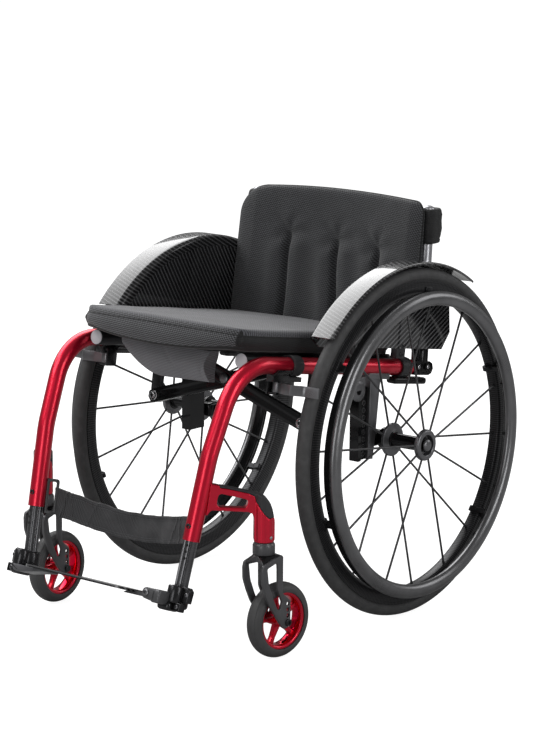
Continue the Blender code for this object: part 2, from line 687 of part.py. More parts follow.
def back_bracket(chair):
    """End piece of the rail: a plug in the tube, a socket for the back tube and two bolts."""
    front = RAIL_REAR + GAP
    rear = BACK_S + 0.0225
    half = 0.012
    outline = rounded([(front, -half, 0.001), (rear, -half, half * 0.98), (rear, half, half * 0.98),
                       (front, half, 0.001)])
    body = plate(outline, RAIL_X - 0.0135, RAIL_X + 0.0135)
    socket = rod(back_point(-0.004), back_point(0.038), BACK_TUBE_RADIUS + 0.0035)
    plug = rod((RAIL_X, RAIL_REAR - 0.028, 0), (RAIL_X, front + 0.004, 0),
               (TUBE_BORE - GAP) * math.cos(math.pi / ROUND_SIDES))
    join(body, socket, plug)
    for s in (BACK_S - 0.018, BACK_S + 0.005):
        join(body, rod((RAIL_X + 0.012, s, 0), (RAIL_X + 0.0165, s, 0), 0.0060, 10))
    cut(body, bore(back_point(0.002), back_point(0.05), BACK_TUBE_RADIUS + GAP))
    finished(body, "back_bracket_left", "black_metal", chair, RAIL_MATRIX)
    twin(body, "back_bracket_right", chair)

    top = BACK_TUBE_TOP
    tube = turned([(0.0025, 0), (0.0025, BACK_TUBE_RADIUS), (top - 0.006, BACK_TUBE_RADIUS),
                   (top - 0.002, BACK_TUBE_RADIUS * 0.8), (top, BACK_TUBE_RADIUS * 0.4), (top, 0)], ROUND_SIDES)
    lean = Matrix.Rotation(BACK_LEAN, 4, "X") @ Matrix.Rotation(-math.pi / 2, 4, "Y")
    place = Matrix.Translation(back_point(0)) @ lean
    finished(tube, "back_tube_left", "grey_metal", chair, RAIL_MATRIX @ place)
    twin(tube, "back_tube_right", chair)


def axle_bracket(chair):
    """Channel and post under the rail, with the receiver sleeve of the wheel's axle."""
    hub_height = WHEEL_RADIUS * math.cos(CAMBER)
    outline = rounded([(-0.072, hub_height - 0.033, 0), (-0.030, hub_height - 0.035, 0),
                       (-0.022, hub_height - 0.021, 0), (0.016, hub_height - 0.020, 0.010),
                       (0.016, hub_height + 0.050, 0.020), (0.006, RAIL_HEIGHT - 0.006, 0),
                       (-0.052, RAIL_HEIGHT + 0.002, 0), (-0.072, RAIL_HEIGHT - 0.020, 0)], 2)
    body = plate(outline, RAIL_X - 0.006, RAIL_X + 0.006)
    channel = block((RAIL_X - 0.0095, -0.0735, hub_height - 0.030),
                    (RAIL_X + 0.0095, -0.034, RAIL_HEIGHT - 0.031))
    join(body, channel)
    cut(body, block((RAIL_X + 0.004, -0.066, hub_height - 0.05), (RAIL_X + 0.02, -0.040, RAIL_HEIGHT - 0.036)))
    for k in range(5):
        height = hub_height - 0.018 + 0.020 * k
        cut(body, rod((RAIL_X - 0.02, -0.053, height), (RAIL_X + 0.02, -0.053, height), 0.0042, 6))
    window = rounded([(-0.020, hub_height + 0.028, 0), (0.006, hub_height + 0.028, 0),
                      (0.002, RAIL_HEIGHT - 0.034, 0), (-0.018, RAIL_HEIGHT - 0.030, 0)])
    cut(body, plate(window, RAIL_X - 0.02, RAIL_X + 0.02))

    saddle = rail_band(-0.048, 0.002)
    cut(saddle, block((0.1, -0.06, 0.0), (0.3, 0.02, 0.05)))
    cut(saddle, seat_tube_clearance(-0.06, 0.02))
    saddle.data.transform(RAIL_MATRIX)
    join(body, saddle)

    tube = rail_tube_clearance(-0.07, 0.03)
    tube.data.transform(RAIL_MATRIX)
    cut(body, tube)

    hub_end = -(FLANGE_OFFSET + 0.006) - 2 * GAP
    inside = AXLE_RADIUS + GAP
    lean = Matrix.Translation((HALF_TRACK, 0, hub_height)) @ Matrix.Rotation(-CAMBER, 4, "Y")
    seat = rod((hub_end - 0.05, 0, 0), (hub_end + 0.01, 0, 0), inside + 0.003, 12)
    seat.data.transform(lean)
    cut(body, seat)
    sleeve = turned([(hub_end - 0.042, inside), (hub_end - 0.042, 0.0135), (hub_end - 0.012, 0.0135),
                     (hub_end - 0.012, 0.0185), (hub_end - 0.003, 0.0185), (hub_end, 0.0145),
                     (hub_end, inside)], 12, ring=True)
    sleeve.data.transform(lean)
    join(body, sleeve)
    finished(body, "axle_bracket_left", "grey_metal", chair)
    twin(body, "axle_bracket_right", chair)


def sideguard(chair):
    """Moulded side panel whose upper edge curls outboard into a mudguard over the tyre."""
    axle = Vector((0, WHEEL_RADIUS * math.cos(CAMBER)))
    panel_top = GUARD_RADIUS - GUARD_LIP
    arc = []
    steps = 9
    for k in range(steps + 1):
        angle = GUARD_FRONT_ANGLE + (GUARD_REAR_ANGLE - GUARD_FRONT_ANGLE) * k / steps
        arc.append(axle + panel_top * Vector((math.cos(angle), math.sin(angle))))
    front_s, rear_s = ((RAIL_MATRIX.inverted() @ Vector((0, *end))).y for end in (arc[0], arc[-1]))
    rear_low = on_rail(0, rear_s - 0.0016, GUARD_BOTTOM)
    rear_mid = on_rail(0, rear_s + 0.0174, GUARD_BOTTOM + 0.030)
    front_low = on_rail(0, front_s + 0.0173, GUARD_BOTTOM)
    outline = arc + [Vector((rear_mid.y, rear_mid.z)), Vector((rear_low.y, rear_low.z)),
                     Vector((front_low.y, front_low.z))]
    panel = plate(outline, GUARD_X + 0.0002, GUARD_X + GUARD_WALL - 0.0002)

    wall = GUARD_WALL
    section = [(GUARD_X, panel_top - 0.006), (GUARD_X + wall, panel_top - 0.006),
               (GUARD_X + wall, panel_top), (GUARD_X + wall + 0.006, GUARD_RADIUS),
               (GUARD_EDGE_X, GUARD_RADIUS + 0.0005), (GUARD_EDGE_X, GUARD_RADIUS + wall),
               (GUARD_X + wall + 0.004, GUARD_RADIUS + wall), (GUARD_X, panel_top + 0.003)]
    flange = swept_arc(section, GUARD_REAR_ANGLE, GUARD_FRONT_ANGLE, 9)
    flange.data.transform(Matrix.Translation((0, 0, axle.y)))
    join(panel, flange)

    for low, high in GUARD_FEET:
        foot = block((RAIL_X - 0.006, low, 0.004), (GUARD_X + 0.002, high, GUARD_BOTTOM + 0.012), 0.001)
        cut(foot, rail_tube_clearance(low - 0.01, high + 0.01))
        foot.data.transform(RAIL_MATRIX)
        join(panel, foot)
    finished(panel, "sideguard_left", "carbon", chair)
    twin(panel, "sideguard_right", chair)


def brake(side, chair):
    """Brake clamp under the rail and the arm that swings in front of the tyre."""
    sign = 1 if side == "left" else -1
    axis = pivot("brake_axis_" + side, on_rail(sign * RAIL_X, BRAKE_S, 0), (-SEAT_SLOPE, 0, 0), chair)
    if side == "right":
        twin(bpy.data.objects["brake_clamp_left"], "brake_clamp_right", chair)
        twin(bpy.data.objects["brake_arm_left"], "brake_arm_right", axis)
        return
    arm_bottom = BRAKE_ARM_TOP - BRAKE_ARM_HEIGHT
    low, high = BRAKE_S - 0.020, CRADLE_FRONT_S + 0.020
    side_in = RAIL_X - 0.0125
    body = rod((RAIL_X, low, 0), (RAIL_X, CRADLE_FRONT_S - CRADLE_WIDTH / 2 - GAP, 0), BAND_RADIUS)
    cut(body, block((0.1, low - 0.01, -0.006), (0.3, high + 0.01, 0.05)))
    rail = block((RAIL_X - 0.0075, low, BRAKE_ARM_TOP + PLAY), (RAIL_X + 0.0075, high, -BAND_RADIUS - GAP))
    neck = block((RAIL_X - 0.0075, low, -0.024), (RAIL_X + 0.0075, CRADLE_FRONT_S - CRADLE_WIDTH / 2 - GAP, -0.008))
    web = block((side_in, BRAKE_S - 0.012, arm_bottom - 0.004), (side_in + 0.003, BRAKE_S + 0.012, -BAND_RADIUS - GAP))
    floor = block((side_in, BRAKE_S - 0.009, arm_bottom - 0.004), (RAIL_X + 0.006, BRAKE_S + 0.009, arm_bottom - PLAY))
    link_in = block((side_in, BRAKE_S - 0.012, -BAND_RADIUS - 0.005), (RAIL_X, BRAKE_S + 0.012, -BAND_RADIUS - GAP))
    join(body, neck, rail, link_in, web, floor)
    cut(body, rail_tube_clearance(low - 0.01, high + 0.01))
    cut(body, seat_tube_clearance(low - 0.01, high + 0.01))
    pin = rod((RAIL_X, BRAKE_S, arm_bottom - 0.005), (RAIL_X, BRAKE_S, BRAKE_ARM_TOP + 0.002), BRAKE_PIN_RADIUS, 10)
    join(body, pin)
    finished(body, "brake_clamp_left", "black_metal", chair, RAIL_MATRIX)

    half = 0.0015
    line = bent([(0.000, 0.000, 0), (0.018, -0.010, 0), (0.040, -0.018, 0), (0.053, 0.002, 0),
                 (0.083, 0.004, 0)], [(0.012, 1), (0.010, 2), (0.012, 2)])
    near, far = [], []
    for index, spot in enumerate(line):
        ahead = line[min(index + 1, len(line) - 1)] - line[max(index - 1, 0)]
        side_way = Vector((-ahead.y, ahead.x, 0)).normalized() * half
        near.append((spot + side_way).xy)
        far.append((spot - side_way).xy)
    arm = plate(near + far[::-1], arm_bottom, BRAKE_ARM_TOP, "XY")
    eye = rod((0, 0, arm_bottom), (0, 0, BRAKE_ARM_TOP), 0.0078, 12)
    join(arm, eye)
    cut(arm, bore((0, 0, -0.1), (0, 0, 0.1), BRAKE_PIN_RADIUS + PLAY, 10))
    finished(arm, "brake_arm_left", "grey_metal", axis)


def caster_arm(chair):
    """Cast arm from the down tube to the caster's head, with its window and the elbow's cover."""
    end, down = down_tube()
    root = end - down * 0.070
    flat = Vector((STEM_X - root.x, STEM_Y - root.y, 0))
    reach = flat.length
    turn = Matrix.Translation((root.x, root.y, 0)) @ Matrix.Rotation(math.atan2(flat.y, flat.x), 4, "Z")
    half = ARM_THICKNESS / 2
    outer = reach + HEAD_RADIUS
    slope = down.xy.dot(flat.xy.normalized()) / down.z

    def beside_tube(height, gap):
        """A point at this height, this far outboard of the down tube's centre line."""
        return ((height - root.z) * slope + gap, height)

    bend = rounded([(*beside_tube(0.306, 0), 0), (*beside_tube(0.2935, 0.011), 0.006), (0.048, 0.287, 0.03),
                    (outer - 0.008, 0.272, 0.034), (outer, 0.232, 0.02), (outer, 0.2, 0)], 4)
    tail = rounded([(reach - 0.0165, HEAD_BOTTOM + 0.003, 0), (reach - 0.0165, 0.246, 0.010),
                    (*beside_tube(0.251, 0.0206), 0.006), (*beside_tube(0.243, 0.017), 0),
                    (*beside_tube(0.243, 0), 0)])
    arm = plate(bend + tail, -half, half, "XZ")
    head = rod((reach, 0, HEAD_BOTTOM), (reach, 0, 0.30), HEAD_RADIUS, 16)
    reach_over = [Vector((outer + 0.001, HEAD_BOTTOM - 0.01)), Vector((0.03, HEAD_BOTTOM - 0.01)), Vector((0.03, 0.31))]
    under = [spot - Vector((GAP, GAP)) for spot in bend[5:]]
    boolean(head, plate(under + reach_over, -0.03, 0.03, "XZ"), "INTERSECT")
    join(arm, head)
    window = rounded([(0.0245, 0.2565, 0.005), (0.072, 0.2535, 0.004), (0.0765, 0.2665, 0.004),
                      (0.028, 0.2785, 0.005)])
    cut(arm, plate(window, -0.05, 0.05, "XZ"))
    cut(arm, bore((reach, 0, HEAD_BOTTOM - 0.01), (reach, 0, HEAD_TOP - 0.006), STEM_RADIUS + PLAY, 12))

    edge = [(outer + 0.01, HEAD_TOP - 0.002), (reach + 0.006, HEAD_TOP - 0.003), (reach - 0.002, 0.245),
            (reach - 0.013, 0.263), (reach - 0.016, 0.2725), (reach - 0.026, 0.2775), (0.040, 0.2862),
            (0.030, 0.2875), (0.026, 0.31), (outer + 0.01, 0.31)]
    cap = arm.copy()
    cap.data = arm.data.copy()
    bpy.context.scene.collection.objects.link(cap)
    cover = plate([Vector(spot) for spot in edge], -0.04, 0.04, "XZ")
    shrunk = plate([Vector((a, z - GAP * 1.5)) for a, z in edge], -0.04, 0.04, "XZ")
    boolean(cap, cover, "INTERSECT")
    cut(arm, shrunk)
    arm.data.transform(turn)
    cut(arm, bore(root - down * 0.2, root + down * 0.2, TUBE_RADIUS + GAP))
    finished(arm, "caster_arm_left", "red_paint", chair)
    twin(arm, "caster_arm_right", chair)
    finished(cap, "caster_cap_left", "moulded_plastic", chair, turn)
    twin(cap, "caster_cap_right", chair)


def caster(side, chair):
    """Fork with its stem, rim, tyre and axle of one caster."""
    sign = 1 if side == "left" else -1
    angle = CASTER_TURN_LEFT if side == "left" else CASTER_TURN_RIGHT
    swivel = pivot("caster_swivel_" + side, (sign * STEM_X, STEM_Y, 0), (0, 0, angle), chair)
    roll = pivot("caster_roll_" + side, (0, TRAIL, CASTER_RADIUS), parent=swivel)
    if side == "right":
        twin(bpy.data.objects["caster_fork_left"], "caster_fork_right", swivel)
        for name in ("caster_rim", "caster_tyre"):
            twin(bpy.data.objects[name + "_left"], name + "_right", roll)
        twin(bpy.data.objects["caster_axle_left"], "caster_axle_right", roll)
        return

    inner = LEG_OFFSET - LEG_THICKNESS / 2
    outer = LEG_OFFSET + LEG_THICKNESS / 2
    crown_low = COLLAR_BOTTOM - 0.010
    leg = rounded([(-0.038, crown_low, 0.004), (0.016, COLLAR_BOTTOM, 0.005), (0.016, 0.128, 0.010),
                   (TRAIL + 0.010, 0.096, 0.012), (TRAIL + 0.010, CASTER_RADIUS - 0.011, 0.0095),
                   (TRAIL - 0.010, CASTER_RADIUS - 0.011, 0.0095), (-0.034, 0.140, 0.012)], 1)
    opening = rounded([(-0.026, crown_low - 0.006, 0.003), (0.008, crown_low - 0.004, 0.003),
                       (0.008, 0.126, 0.008), (0.020, 0.093, 0.003), (0.014, 0.086, 0.003),
                       (-0.024, 0.138, 0.006)], 1)
    crown = rounded([(-outer, -0.034, 0.006), (outer, -0.034, 0.006), (outer, 0.015, 0.004), (-outer, 0.015, 0.004)], 1)
    body = plate(crown, crown_low - 0.001, COLLAR_BOTTOM - 0.001, "XY")
    for place in (-1, 1):
        low, high = sorted((place * inner, place * outer))
        side_leg = plate(leg, low, high)
        cut(side_leg, plate(opening, low - 0.01, high + 0.01))
        for k in range(2):
            height = CASTER_RADIUS + 0.015 + 0.012 * k
            cut(side_leg, rod((low - 0.01, TRAIL + 0.002, height), (high + 0.01, TRAIL + 0.002, height), 0.0026, 6))
        join(body, side_leg)
    stem = rod((0, 0, COLLAR_BOTTOM - 0.006), (0, 0, HEAD_TOP - 0.008), STEM_RADIUS, 12)
    collar = rod((0, 0, COLLAR_BOTTOM - 0.004), (0, 0, HEAD_BOTTOM - GAP), HEAD_RADIUS + 0.0005, 14)
    join(body, collar, stem)
    cut(body, bore((-0.05, TRAIL, CASTER_RADIUS), (0.05, TRAIL, CASTER_RADIUS), 0.004 + GAP, 10))
    finished(body, "caster_fork_left", "black_metal", swivel)

    half = CASTER_HALF_WIDTH
    tread = [(half * math.sin(math.radians(a)), CASTER_RADIUS - half * 0.82 + half * 0.82 * math.cos(math.radians(a)))
             for a in range(-90, 91, 45)]
    tyre = [(-half + 0.003, CASTER_RIM_RADIUS + GAP)] + tread + [(half - 0.003, CASTER_RIM_RADIUS + GAP)]
    finished(turned(tyre, CASTER_STEPS, ring=True), "caster_tyre_left", "tyre_rubber", roll)

    rim = turned([(-0.0115, 0.0415), (-0.006, 0.0395), (0.006, 0.0395), (0.0115, 0.0415),
                  (0.0118, CASTER_RIM_RADIUS), (-0.0118, CASTER_RIM_RADIUS)], CASTER_STEPS, ring=True)
    for k in range(CASTER_SPOKES):
        turn = Matrix.Rotation(2 * math.pi * k / CASTER_SPOKES + math.radians(100), 4, "X")
        spoke = plate([Vector(spot) for spot in ((0.004, -0.0052), (0.042, -0.0034), (0.042, 0.0034), (0.004, 0.0052))],
                      -0.0045, 0.0045)
        spoke.data.transform(turn)
        join(rim, spoke)
    join(rim, rod((-inner + 0.0005, 0, 0), (inner - 0.0005, 0, 0), 0.0105, 12))
    cut(rim, bore((-0.05, 0, 0), (0.05, 0, 0), 0.004 + GAP, 10))
    finished(rim, "caster_rim_left", "red_paint", roll)

    axle = turned([(-outer - 0.0035, 0), (-outer - 0.0035, 0.0062), (-outer - GAP, 0.0062), (-outer - GAP, 0.004),
                   (outer + GAP, 0.004), (outer + GAP, 0.0062), (outer + 0.003, 0.0052), (outer + 0.003, 0)], 12)
    finished(axle, "caster_axle_left", "black_metal", roll)


def plate_frame():
    """The footplate's own frame: on its hinge pin, tilted with its toe end up."""
    return Matrix.Translation(PLATE_PIVOT) @ Matrix.Rotation(-PLATE_TILT, 4, "X")


def wing(start, end, deep, half_depth):
    """A tapering support under the footplate, from its thick end to its tip."""
    top = -PLATE_THICKNESS - GAP
    outline = [(start, top), (end, top), (end, top - 0.004), (start, top - deep)]
    body = plate([Vector(spot) for spot in outline], -half_depth, half_depth, "XZ")
    return body


def footrest(chair):
    """Telescopic tubes, clamps with the plate's hinge and rest, and the footplate."""
    end, down = down_tube()
    start = end - down * FOOT_TUBE_INSIDE
    finish_at = end + down * FOOT_TUBE_OUTSIDE
    turn = down.to_track_quat("Z", "Y").to_matrix().to_4x4()
    flutes = 18
    outline = []
    for k in range(flutes):
        radius = FOOT_TUBE_RADIUS - (0.0010 if k % 3 == 0 else 0.0)
        outline.append(Vector((radius * math.cos(2 * math.pi * k / flutes), radius * math.sin(2 * math.pi * k / flutes))))
    tube = plate(outline, 0, FOOT_TUBE_INSIDE + FOOT_TUBE_OUTSIDE, "XY")
    tube.data.transform(Matrix.Translation(start) @ turn)
    ahead = Vector((0.10, -1, -0.25)).normalized()
    for k in range(4):
        spot = end + down * (0.010 + 0.010 * k)
        cut(tube, rod(spot + ahead * 0.006, spot + ahead * 0.02, 0.0022, 8))
    finished(tube, "foot_tube_left", "black_metal", chair)
    twin(tube, "foot_tube_right", chair)

    frame = plate_frame()
    seat = end + down * (FOOT_TUBE_OUTSIDE - 0.018)
    local = frame.inverted() @ seat

    def clamp():
        body = rod(seat - down * 0.019, seat + down * 0.015, FOOT_TUBE_RADIUS + 0.0055, 16)
        pinch = block((local.x + 0.008, local.y - 0.010, local.z - 0.012),
                      (local.x + 0.0245, local.y + 0.012, local.z + 0.014))
        pinch.data.transform(frame)
        screw = rod((local.x + 0.0175, local.y - 0.0135, local.z + 0.002),
                    (local.x + 0.0175, local.y - 0.005, local.z + 0.002), 0.0042, 12)
        screw.data.transform(frame)
        knuckle = block((0.003, -0.0222, -0.0145), (local.x + 0.006, local.y - 0.004, 0.009))
        knuckle.data.transform(frame)
        return join(body, pinch, screw, knuckle)

    def clear_tube(body):
        return cut(body, bore(end, end + down * (FOOT_TUBE_OUTSIDE + 0.004), FOOT_TUBE_RADIUS + GAP, 24))

    hinge_half = 0.010
    left = clamp()
    lug_half = 0.0215
    lug = plate(rounded([(-0.008, -0.008, 0.0075), (0.014, -0.0125, 0), (0.014, 0.008, 0),
                         (-0.008, 0.008, 0.0075)]), -lug_half, lug_half, "XZ")
    lug.data.transform(frame)
    join(left, lug)
    slot = block((-0.02, -hinge_half - PLAY, -0.03), (0.0095, hinge_half + PLAY, 0.03))
    slot.data.transform(frame)
    cut(left, slot)
    pin = rod((0, -0.023, 0), (0, 0.020, 0), HINGE_PIN_RADIUS, 10)
    pin_head = rod((0, -0.0245, 0), (0, -0.0205, 0), 0.0058, 10)
    pin.data.transform(frame)
    pin_head.data.transform(frame)
    join(left, pin, pin_head)
    finished(clear_tube(left), "footrest_clamp_left", "moulded_plastic", chair)

    right = clamp()
    mirrored = wing(0.012, -0.058, 0.012, 0.018)
    mirrored.data.transform(frame)
    join(right, mirrored)
    clear_tube(right)
    finished(right, "footrest_clamp_right", "moulded_plastic", chair)
    right.data.transform(Matrix.Scale(-1, 4, (1, 0, 0)))
    right.data.flip_normals()

    axis = pivot("footplate_axis", PLATE_PIVOT, (-PLATE_TILT, 0, 0), chair)
    shift = PLATE_PIVOT[0]
    half_depth = PLATE_DEPTH / 2
    outline = rounded([(-PLATE_HALF_WIDTH - shift, -half_depth, 0.020), (PLATE_HALF_WIDTH - shift, -half_depth, 0.020),
                       (PLATE_HALF_WIDTH - shift, half_depth, 0.020), (-PLATE_HALF_WIDTH - shift, half_depth, 0.020)], 4)
    board = plate(outline, -PLATE_THICKNESS, 0, "XY")
    eye = rod((0, -hinge_half, 0), (0, hinge_half, 0), 0.0072, 14)
    neck = plate([Vector(spot) for spot in ((-0.045, -PLATE_THICKNESS / 2), (-0.055, -0.008), (-0.006, -0.0075),
                                           (0.0, -0.0070), (0.0, -PLATE_THICKNESS / 2 + 0.001), (-0.020, -0.001))],
                 -hinge_half, hinge_half, "XZ")
    join(board, eye, neck)
    cut(board, bore((0, -0.03, 0), (0, 0.03, 0), HINGE_PIN_RADIUS + PLAY, 10))
    finished(board, "footplate", "carbon", axis)


def calf_strap(chair):
    """Loops on the down tubes and the webbing strap between them, behind the legs."""
    end, down = down_tube()
    middle = end - down * 0.019
    inward = Vector((-0.82, 0.57, 0)).normalized()
    side_way = inward.cross(down).normalized()
    inward = down.cross(side_way).normalized()
    frame = Matrix.Translation(middle) @ Matrix((inward, side_way, -down)).transposed().to_4x4()
    outer = rounded([(0.010, -0.029, 0.002), (0.034, -0.029, 0.004), (0.034, 0.029, 0.004), (0.010, 0.029, 0.002)])
    hole = rounded([(0.018, -0.024, 0.002), (0.0295, -0.024, 0.002), (0.0295, 0.024, 0.002), (0.018, 0.024, 0.002)])
    loop = plate(outer, -0.0022, 0.0022, "XZ")
    cut(loop, plate(hole, -0.02, 0.02, "XZ"))
    loop.data.transform(frame)
    cut(loop, bore(middle - down * 0.1, middle + down * 0.1, TUBE_RADIUS + GAP))
    finished(loop, "strap_loop_left", "moulded_plastic", chair)
    twin(loop, "strap_loop_right", chair)

    face = 0.034 + GAP
    edge = frame @ Vector((face - 0.006, 0, -0.006))
    lean = -down
    height = 0.044
    sag = 0.016
    belly = 0.022
    thickness = 0.0025

    def strap(u, v):
        swell = math.cos(u * math.pi / 2)
        centre = Vector((u * edge.x, edge.y + belly * swell, edge.z - sag * swell))
        spot = centre + Vector((0, lean.y, lean.z)).normalized() * (height / 2 * v)
        return spot - Vector((0, thickness / 2, 0)), spot + Vector((0, thickness / 2, 0))

    band = pad(1, 1, 14, 1, strap)
    for sign in (1, -1):
        trim = block((-0.06, -0.06, -0.05), (face, 0.06, 0.05))
        trim.data.transform(Matrix.Scale(sign, 4, (1, 0, 0)) @ frame)
        if sign < 0:
            trim.data.flip_normals()
        cut(band, trim)
    finished(band, "calf_strap", "webbing", chair)


def seat_soft(chair):
    """Seat sling with its front pouch, and the cushion with its crown and drawn-in sides."""
    top = SEAT_TUBE_RISE + SEAT_TUBE_RADIUS + GAP
    front = SEAT_TUBE_FRONT + 0.006
    rear = SEAT_TUBE_REAR - 0.012

    def sag(x):
        return SEAT_SAG * max(0.0, 1 - (x / (SEAT_TUBE_X - 0.012)) ** 2)

    def sling(u, v):
        x = u * (SEAT_TUBE_X + 0.004)
        s = front + (rear - front) * (v + 1) / 2
        low = top - sag(x)
        return Vector((x, s, low)), Vector((x, s, low + SLING_THICKNESS))

    cloth = pad(1, 1, 8, 2, sling)

    def pouch(u, v):
        x = -0.020 + u * 0.100
        drop = (v + 1) / 2
        belly = math.sqrt(max(0.0, 1 - u * u * 0.75)) * math.sin(math.pi * (0.12 + 0.80 * drop))
        depth = 0.003 + 0.013 * belly
        h = top - SEAT_SAG - 0.001 + 0.002 - (0.046 - 0.016 * u * u + 0.004 * u) * drop
        middle = front + 0.022
        return Vector((x, middle - depth, h)), Vector((x, middle + depth, h))

    bag = pad(1, 1, 8, 4, pouch)
    lid_top = top - SEAT_SAG + SLING_THICKNESS / 2
    lid = block((-0.080, front + 0.019, lid_top - 0.004), (0.040, front + 0.025, lid_top))
    join(cloth, lid)
    join(cloth, bag)
    finished(cloth, "seat_sling", "webbing", chair, RAIL_MATRIX)

    base = top + SLING_THICKNESS + GAP
    depth = CUSHION_REAR - CUSHION_FRONT

    def cushion(u, v):
        x = u * CUSHION_HALF_WIDTH
        corner = abs(u) ** 6 * abs(v) ** 6
        s = CUSHION_FRONT + depth * (v + 1) / 2
        s -= 0.012 * (1 - u * u) * max(0.0, -v) ** 4
        s += 0.012 * max(0.0, 1 - (x / 0.150) ** 2) * max(0.0, v) ** 4
        pull = 0.006 * corner
        x -= math.copysign(pull, u)
        s += math.copysign(pull, -v)
        edge = min(1.0, (1 - abs(u)) * 7) ** 0.5 * min(1.0, (1 - abs(v)) * 8) ** 0.5
        crown = 0.006 * (1 - u ** 2) * (1 - 0.5 * v ** 2)
        round_off = 0.008 * (1 - edge)
        low = base - sag(x)
        waist = 0.004 * (1 - edge)
        return (Vector((x * (1 - waist), s, low + round_off * 0.5)),
                Vector((x, s, base + CUSHION_THICKNESS + crown - round_off)))

    body = pad(1, 1, 12, 8, cushion)
    finished(body, "seat_cushion", "mesh_fabric", chair, RAIL_MATRIX)


def back_soft(chair):
    """Back upholstery: padded panel with three sewn channels, hung on the back tubes by two sleeves."""
    height = BACK_TOP - BACK_BOTTOM
    channels = (-0.095, 0.0, 0.095)
    inside = RAIL_X - BACK_TUBE_RADIUS - 0.006
    clear = BACK_TUBE_RADIUS + 0.0035 + 3 * GAP

    def panel(u, v):
        up = (v + 1) / 2
        h = BACK_BOTTOM + height * (1 - (1 - up) ** 1.6)
        over = min(BACK_CORNER, max(0.0, h - (BACK_TOP - BACK_CORNER)))
        half = BACK_HALF_WIDTH - BACK_CORNER + math.sqrt(BACK_CORNER ** 2 - over ** 2)
        x = u * half
        hollow = BACK_HOLLOW * max(0.0, 1 - (x / inside) ** 2)
        groove = sum(math.exp(-((x - c) / 0.008) ** 2) for c in channels)
        fade = min(1.0, max(0.0, (0.205 - h) / 0.015))
        border = 0.006 * abs(u) ** 10 + 0.006 * max(0.0, v) ** 12
        front = BACK_FRONT_S + hollow + 0.009 * groove * fade + border
        rear = back_point(h).y - clear + hollow - border * 0.3
        return Vector((x, front, h)), Vector((x, rear, h))

    body = pad(1, 1, 20, 7, panel)
    for sign in (-1, 1):
        wide = sorted((sign * (RAIL_X - BACK_TUBE_RADIUS - 0.004), sign * (BACK_HALF_WIDTH + 0.0005)))
        middle = back_point((SLEEVE_LOW + SLEEVE_HIGH) / 2).y
        sleeve = block((wide[0], middle - clear - 0.006, SLEEVE_LOW),
                       (wide[1], middle + BACK_TUBE_RADIUS + 0.006, SLEEVE_HIGH), 0.003)
        join(body, sleeve)
        cut(body, bore(back_point(0, sign), back_point(0.4, sign), BACK_TUBE_RADIUS + GAP))
    finished(body, "back_upholstery", "mesh_fabric", chair, RAIL_MATRIX)


def build():
    clear_scene()
    chair = pivot("chair", (0, CENTRE_SHIFT, 0))
    frame_tube(chair)
    cradles(chair)
    hanger("left", "a", chair)
    hanger("right", "b", chair)
    cross_bar("a", chair)
    axis = cross_bar("b", chair)
    cross_bolt(axis)
    back_bracket(chair)
    axle_bracket(chair)
    sideguard(chair)
    caster_arm(chair)
    footrest(chair)
    calf_strap(chair)
    for side in ("left", "right"):
        rear_wheel(side, chair)
        caster(side, chair)
        brake(side, chair)
    seat_soft(chair)
    back_soft(chair)


build()
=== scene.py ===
"""Dresses a folding active wheelchair: paint, rubber, carbon, cloth and the rounder pieces.

Metres, +Z up. The occupant faces -Y, and +X is the occupant's left. Each pair of pieces is
modelled on the left and mirrored to the right. "s" runs back along the seat rail and "h" stands
square to it; both start over the rear axle.
"""
import json
import math
import bmesh
import bpy
from mathutils import Matrix, Vector, noise


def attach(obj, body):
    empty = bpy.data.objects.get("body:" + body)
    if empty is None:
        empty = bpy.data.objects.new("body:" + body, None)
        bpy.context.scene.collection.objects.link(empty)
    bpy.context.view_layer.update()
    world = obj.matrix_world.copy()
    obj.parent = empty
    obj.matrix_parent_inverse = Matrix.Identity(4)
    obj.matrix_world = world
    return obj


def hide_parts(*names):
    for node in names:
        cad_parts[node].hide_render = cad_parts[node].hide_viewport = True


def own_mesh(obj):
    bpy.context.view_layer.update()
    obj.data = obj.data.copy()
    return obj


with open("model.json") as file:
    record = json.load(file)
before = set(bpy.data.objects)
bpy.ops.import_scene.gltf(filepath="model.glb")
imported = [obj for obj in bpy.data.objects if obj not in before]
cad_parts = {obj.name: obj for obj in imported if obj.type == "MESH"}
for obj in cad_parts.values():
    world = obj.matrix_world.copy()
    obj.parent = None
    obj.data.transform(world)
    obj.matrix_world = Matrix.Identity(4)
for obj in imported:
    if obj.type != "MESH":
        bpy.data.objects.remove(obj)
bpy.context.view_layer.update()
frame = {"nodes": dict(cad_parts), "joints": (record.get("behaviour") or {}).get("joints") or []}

bl_info = {
    "name": "Active Wheelchair Dresser",
    "version": (1, 0, 0),
    "blender": (4, 5, 0),
    "location": "View3D > Sidebar > Wheelchair",
    "description": "Adds the detailed wheels, frame, brackets and upholstery of a folding active wheelchair",
    "category": "Add Mesh",
}

PIVOTS = {joint["name"]: joint for joint in frame["joints"]}

# How far behind the part's middle the rear axle lies
SHIFT = PIVOTS["wheel_spin_left"]["pos_m"][1]

# The seat rails, and their frame over the rear axle
SEAT_SLOPE = math.radians(8.75)
RAIL_HEIGHT = 0.4166
RAIL_X = 0.187
RAIL = Matrix.Translation((0, SHIFT, RAIL_HEIGHT)) @ Matrix.Rotation(-SEAT_SLOPE, 4, "X")

# The cross brace: its lower pivots, and the seat rods on its upper ends
HANGER_X = 0.171
HANGER_H = -0.097
SEAT_ROD_X = 0.158

# The back tubes: their lean, and where their line meets the rails
BACK_LEAN = math.radians(5)
BACK_FOOT = 0.108

# The casters: how far their wheels trail behind the stems, and their radius
CASTER_TRAIL = 0.032
CASTER_RADIUS = 0.062

